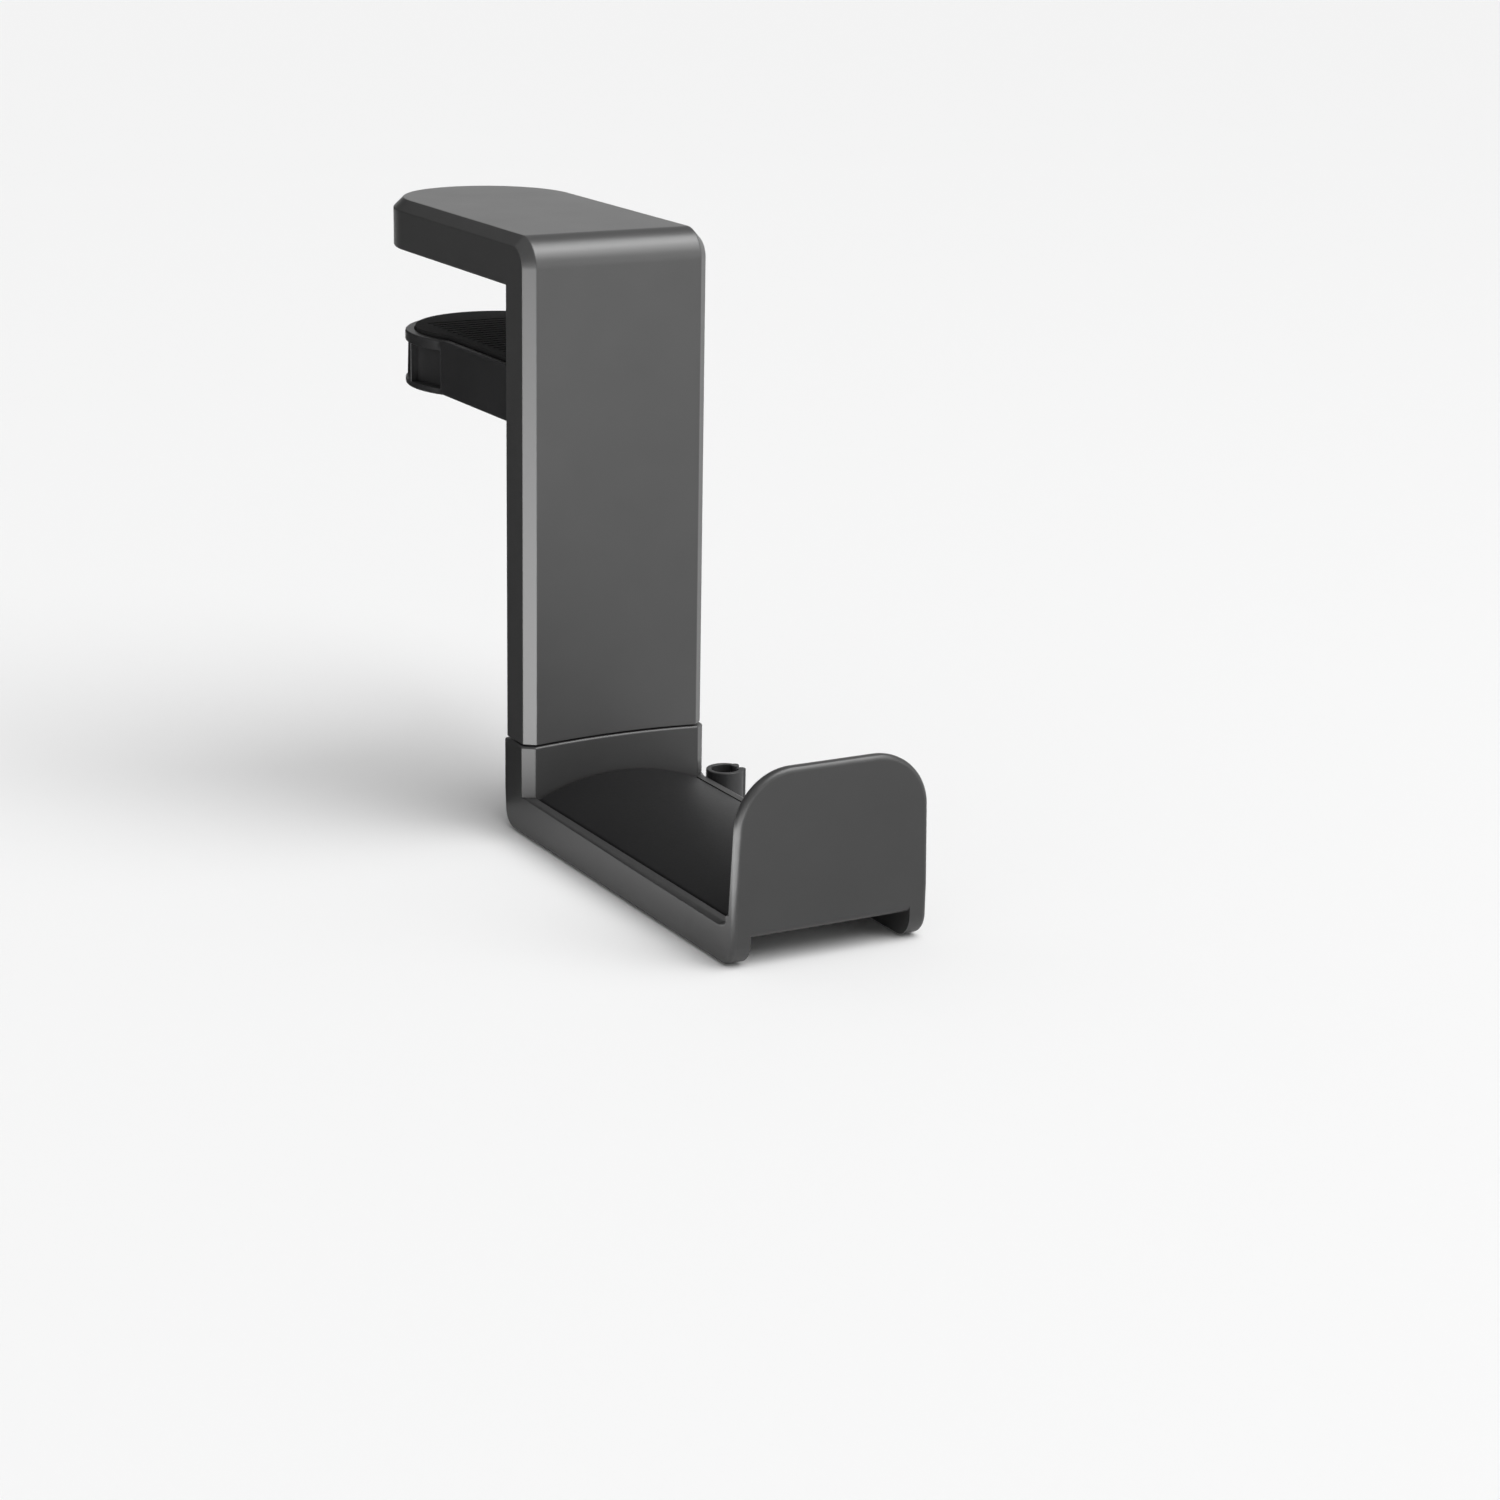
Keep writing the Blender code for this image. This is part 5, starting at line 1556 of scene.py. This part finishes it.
def flat_sheet(name: str, size: Point, place: Sequence[float], way: Place) -> bpy.types.Object:
    """A rectangle round a place, facing a way."""
    x, y = size[0] / 2, size[1] / 2
    sheet = bmesh.new()
    corners = [(-x, -y, 0.0), (x, -y, 0.0), (x, y, 0.0), (-x, y, 0.0)]
    sheet.faces.new([sheet.verts.new(corner) for corner in corners])
    turn = Vector(way).to_track_quat("Z", "Y").to_matrix().to_4x4()
    return mesh_object(name, turned_to(sheet, turn, place))


def paint(sheet: bpy.types.Object, name: str, colour: Colour, glow: float = 0.0) -> None:
    """Give a sheet a matt colour, and a white glow where wanted."""
    made = bpy.data.materials.new(name)
    made.use_nodes = True
    shader = made.node_tree.nodes["Principled BSDF"]
    shader.inputs["Base Color"].default_value = (*colour, 1.0)
    shader.inputs["Roughness"].default_value = 1.0
    shader.inputs["Specular IOR Level"].default_value = 0.0
    shader.inputs["Emission Color"].default_value = (*WHITE, 1.0)
    shader.inputs["Emission Strength"].default_value = glow
    sheet.data.materials.append(made)


def hang(lamp: bpy.types.Light, power: float, place: Place, way: Vector) -> None:
    """Put a lamp in the scene, shining one way."""
    lamp.energy = power
    holder = bpy.data.objects.new(lamp.name, lamp)
    holder.location = place
    holder.rotation_euler = way.to_track_quat("-Z", "Y").to_euler()
    holder.visible_camera = False
    bpy.context.scene.collection.objects.link(holder)


@dataclass
class Studio:
    """A pale floor, soft light and the camera."""

    floor_size: float = 40.0
    floor_drop: float = 0.0002
    floor_colour: Colour = (0.86, 0.86, 0.86)
    horizon: float = 1.0
    sky: float = 0.32
    haze: Point = (0.10, 0.35)
    camera_place: Place = (-0.3176, -0.6767, 0.1100)
    yaw: float = radians(29.05)
    pitch: float = radians(16.39)
    roll: float = radians(-0.98)
    lens: float = 83.2
    sensor: float = 36.0
    nearest: float = 0.01
    lights: list[Softbox | Sun | Card] = field(default_factory=lambda: [
        Sun("overcast", (-0.30, 0.40, -0.85), radians(60.0), 2.5),
        Softbox("front_right", (0.75, -0.95, 0.35), (0.0, -0.06, -0.06), (0.7, 0.7), 2.0),
        Card("back_card", (-0.36, 0.36, -0.112), UP, (0.76, 0.78)),
        Card("back_card_upright", (-0.40, 0.70, 0.19), (0.466, -0.839, 0.0), (1.30, 0.60)),
        Card("front_card", (0.08, -0.205, -0.112), UP, (0.26, 0.13), 0.65),
        Card("left_card", (-0.38, -0.22, -0.111), UP, (0.67, 0.34), 6.5),
        Card("bend_card", (0.36, -0.26, 0.64), (-0.466, 0.282, -0.839), (0.70, 0.14), 9.0),
    ])

    def build(self) -> None:
        """Set up the floor, the sky, the lights and the camera."""
        bpy.context.scene.view_settings.view_transform = "Standard"
        self.lay_floor()
        self.light_sky()
        for lamp in self.lights:
            lamp.build()
        self.set_camera()

    def lay_floor(self) -> None:
        """A pale matt floor just under the object."""
        level = cad_box[0].z - self.floor_drop
        size = (self.floor_size, self.floor_size)
        floor = flat_sheet("studio_floor", size, (0.0, 0.0, level), UP)
        paint(floor, "pale_floor", self.floor_colour)

    def light_sky(self) -> None:
        """A pale surround: as light as the floor at the horizon, softer overhead."""
        world = bpy.data.worlds.new("pale_surround")
        world.use_nodes = True
        backdrop = world.node_tree.nodes["Background"]
        graph = Graph(world.node_tree)
        way = graph.node("ShaderNodeTexCoord", output="Generated")
        height = graph.node("ShaderNodeSeparateXYZ", None, {0: way}, 2)
        low, high = self.haze
        stops = ((0.0, self.horizon), (low, self.horizon), (high, self.sky), (1.0, self.sky))
        level = graph.node("ShaderNodeValToRGB", {"stops": stops}, {0: height})
        world.node_tree.links.new(level.socket, backdrop.inputs["Color"])
        bpy.context.scene.world = world

    def set_camera(self) -> None:
        """Stand the camera in front, to the left and a little above."""
        reach = cos(self.pitch)
        forward = Vector((sin(self.yaw) * reach, cos(self.yaw) * reach, -sin(self.pitch)))
        level = Vector((cos(self.yaw), -sin(self.yaw), 0.0))
        down = forward.cross(level)
        right = cos(self.roll) * level + sin(self.roll) * down
        below = -sin(self.roll) * level + cos(self.roll) * down
        view = bpy.data.cameras.new("studio_camera")
        view.lens = self.lens
        view.sensor_width = self.sensor
        view.clip_start = self.nearest
        holder = bpy.data.objects.new("studio_camera", view)
        turn = Matrix((right, -below, -forward)).transposed().to_4x4()
        holder.matrix_world = Matrix.Translation(Vector(self.camera_place)) @ turn
        bpy.context.scene.collection.objects.link(holder)
        bpy.context.scene.camera = holder


def main() -> None:
    """Build each sub-assembly in order, then the studio."""
    logging.basicConfig(level=logging.INFO, format="%(message)s")
    swivel = next(joint for joint in frame["joints"] if joint["name"] == "hook_swivel")
    x, y, z = swivel["pos_m"]
    seam = Seam((x, y), z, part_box("clamp_shell")[1].x)
    rear, down = (0, 1, 0), (0, 0, -1)
    clamp_screws = {f"cover_screw_{i}": rear for i in COVER_SCREWS}
    clamp_screws |= {f"arm_plate_screw_{i}": down for i in (1, 2)}
    ClampCasting(seam).build()
    ArmPlate().build()
    GripPad("top_pad", Body.CLAMP, GRIP_RUBBER, face_up=False).build()
    RearCover().build()
    GuideSprings().build()
    ScrewSet("clamp_screws", Body.CLAMP, clamp_screws).build()
    PivotBolt().build()
    Jaw().build()
    GripPad("jaw_pad", Body.JAW, GRIP_RUBBER, face_up=True).build()
    ScrewSet("jaw_screws", Body.JAW, {f"jaw_screw_{i}": down for i in (1, 2)}).build()
    HookCasting(seam).build()
    Saddle().build()
    ScrewSet("hook_screws", Body.HOOK, {f"saddle_screw_{i}": down for i in (1, 2)}).build()
    CableClip().build()
    InnerWorks().dress()
    Studio().build()


if __name__ == "__main__":
    main()
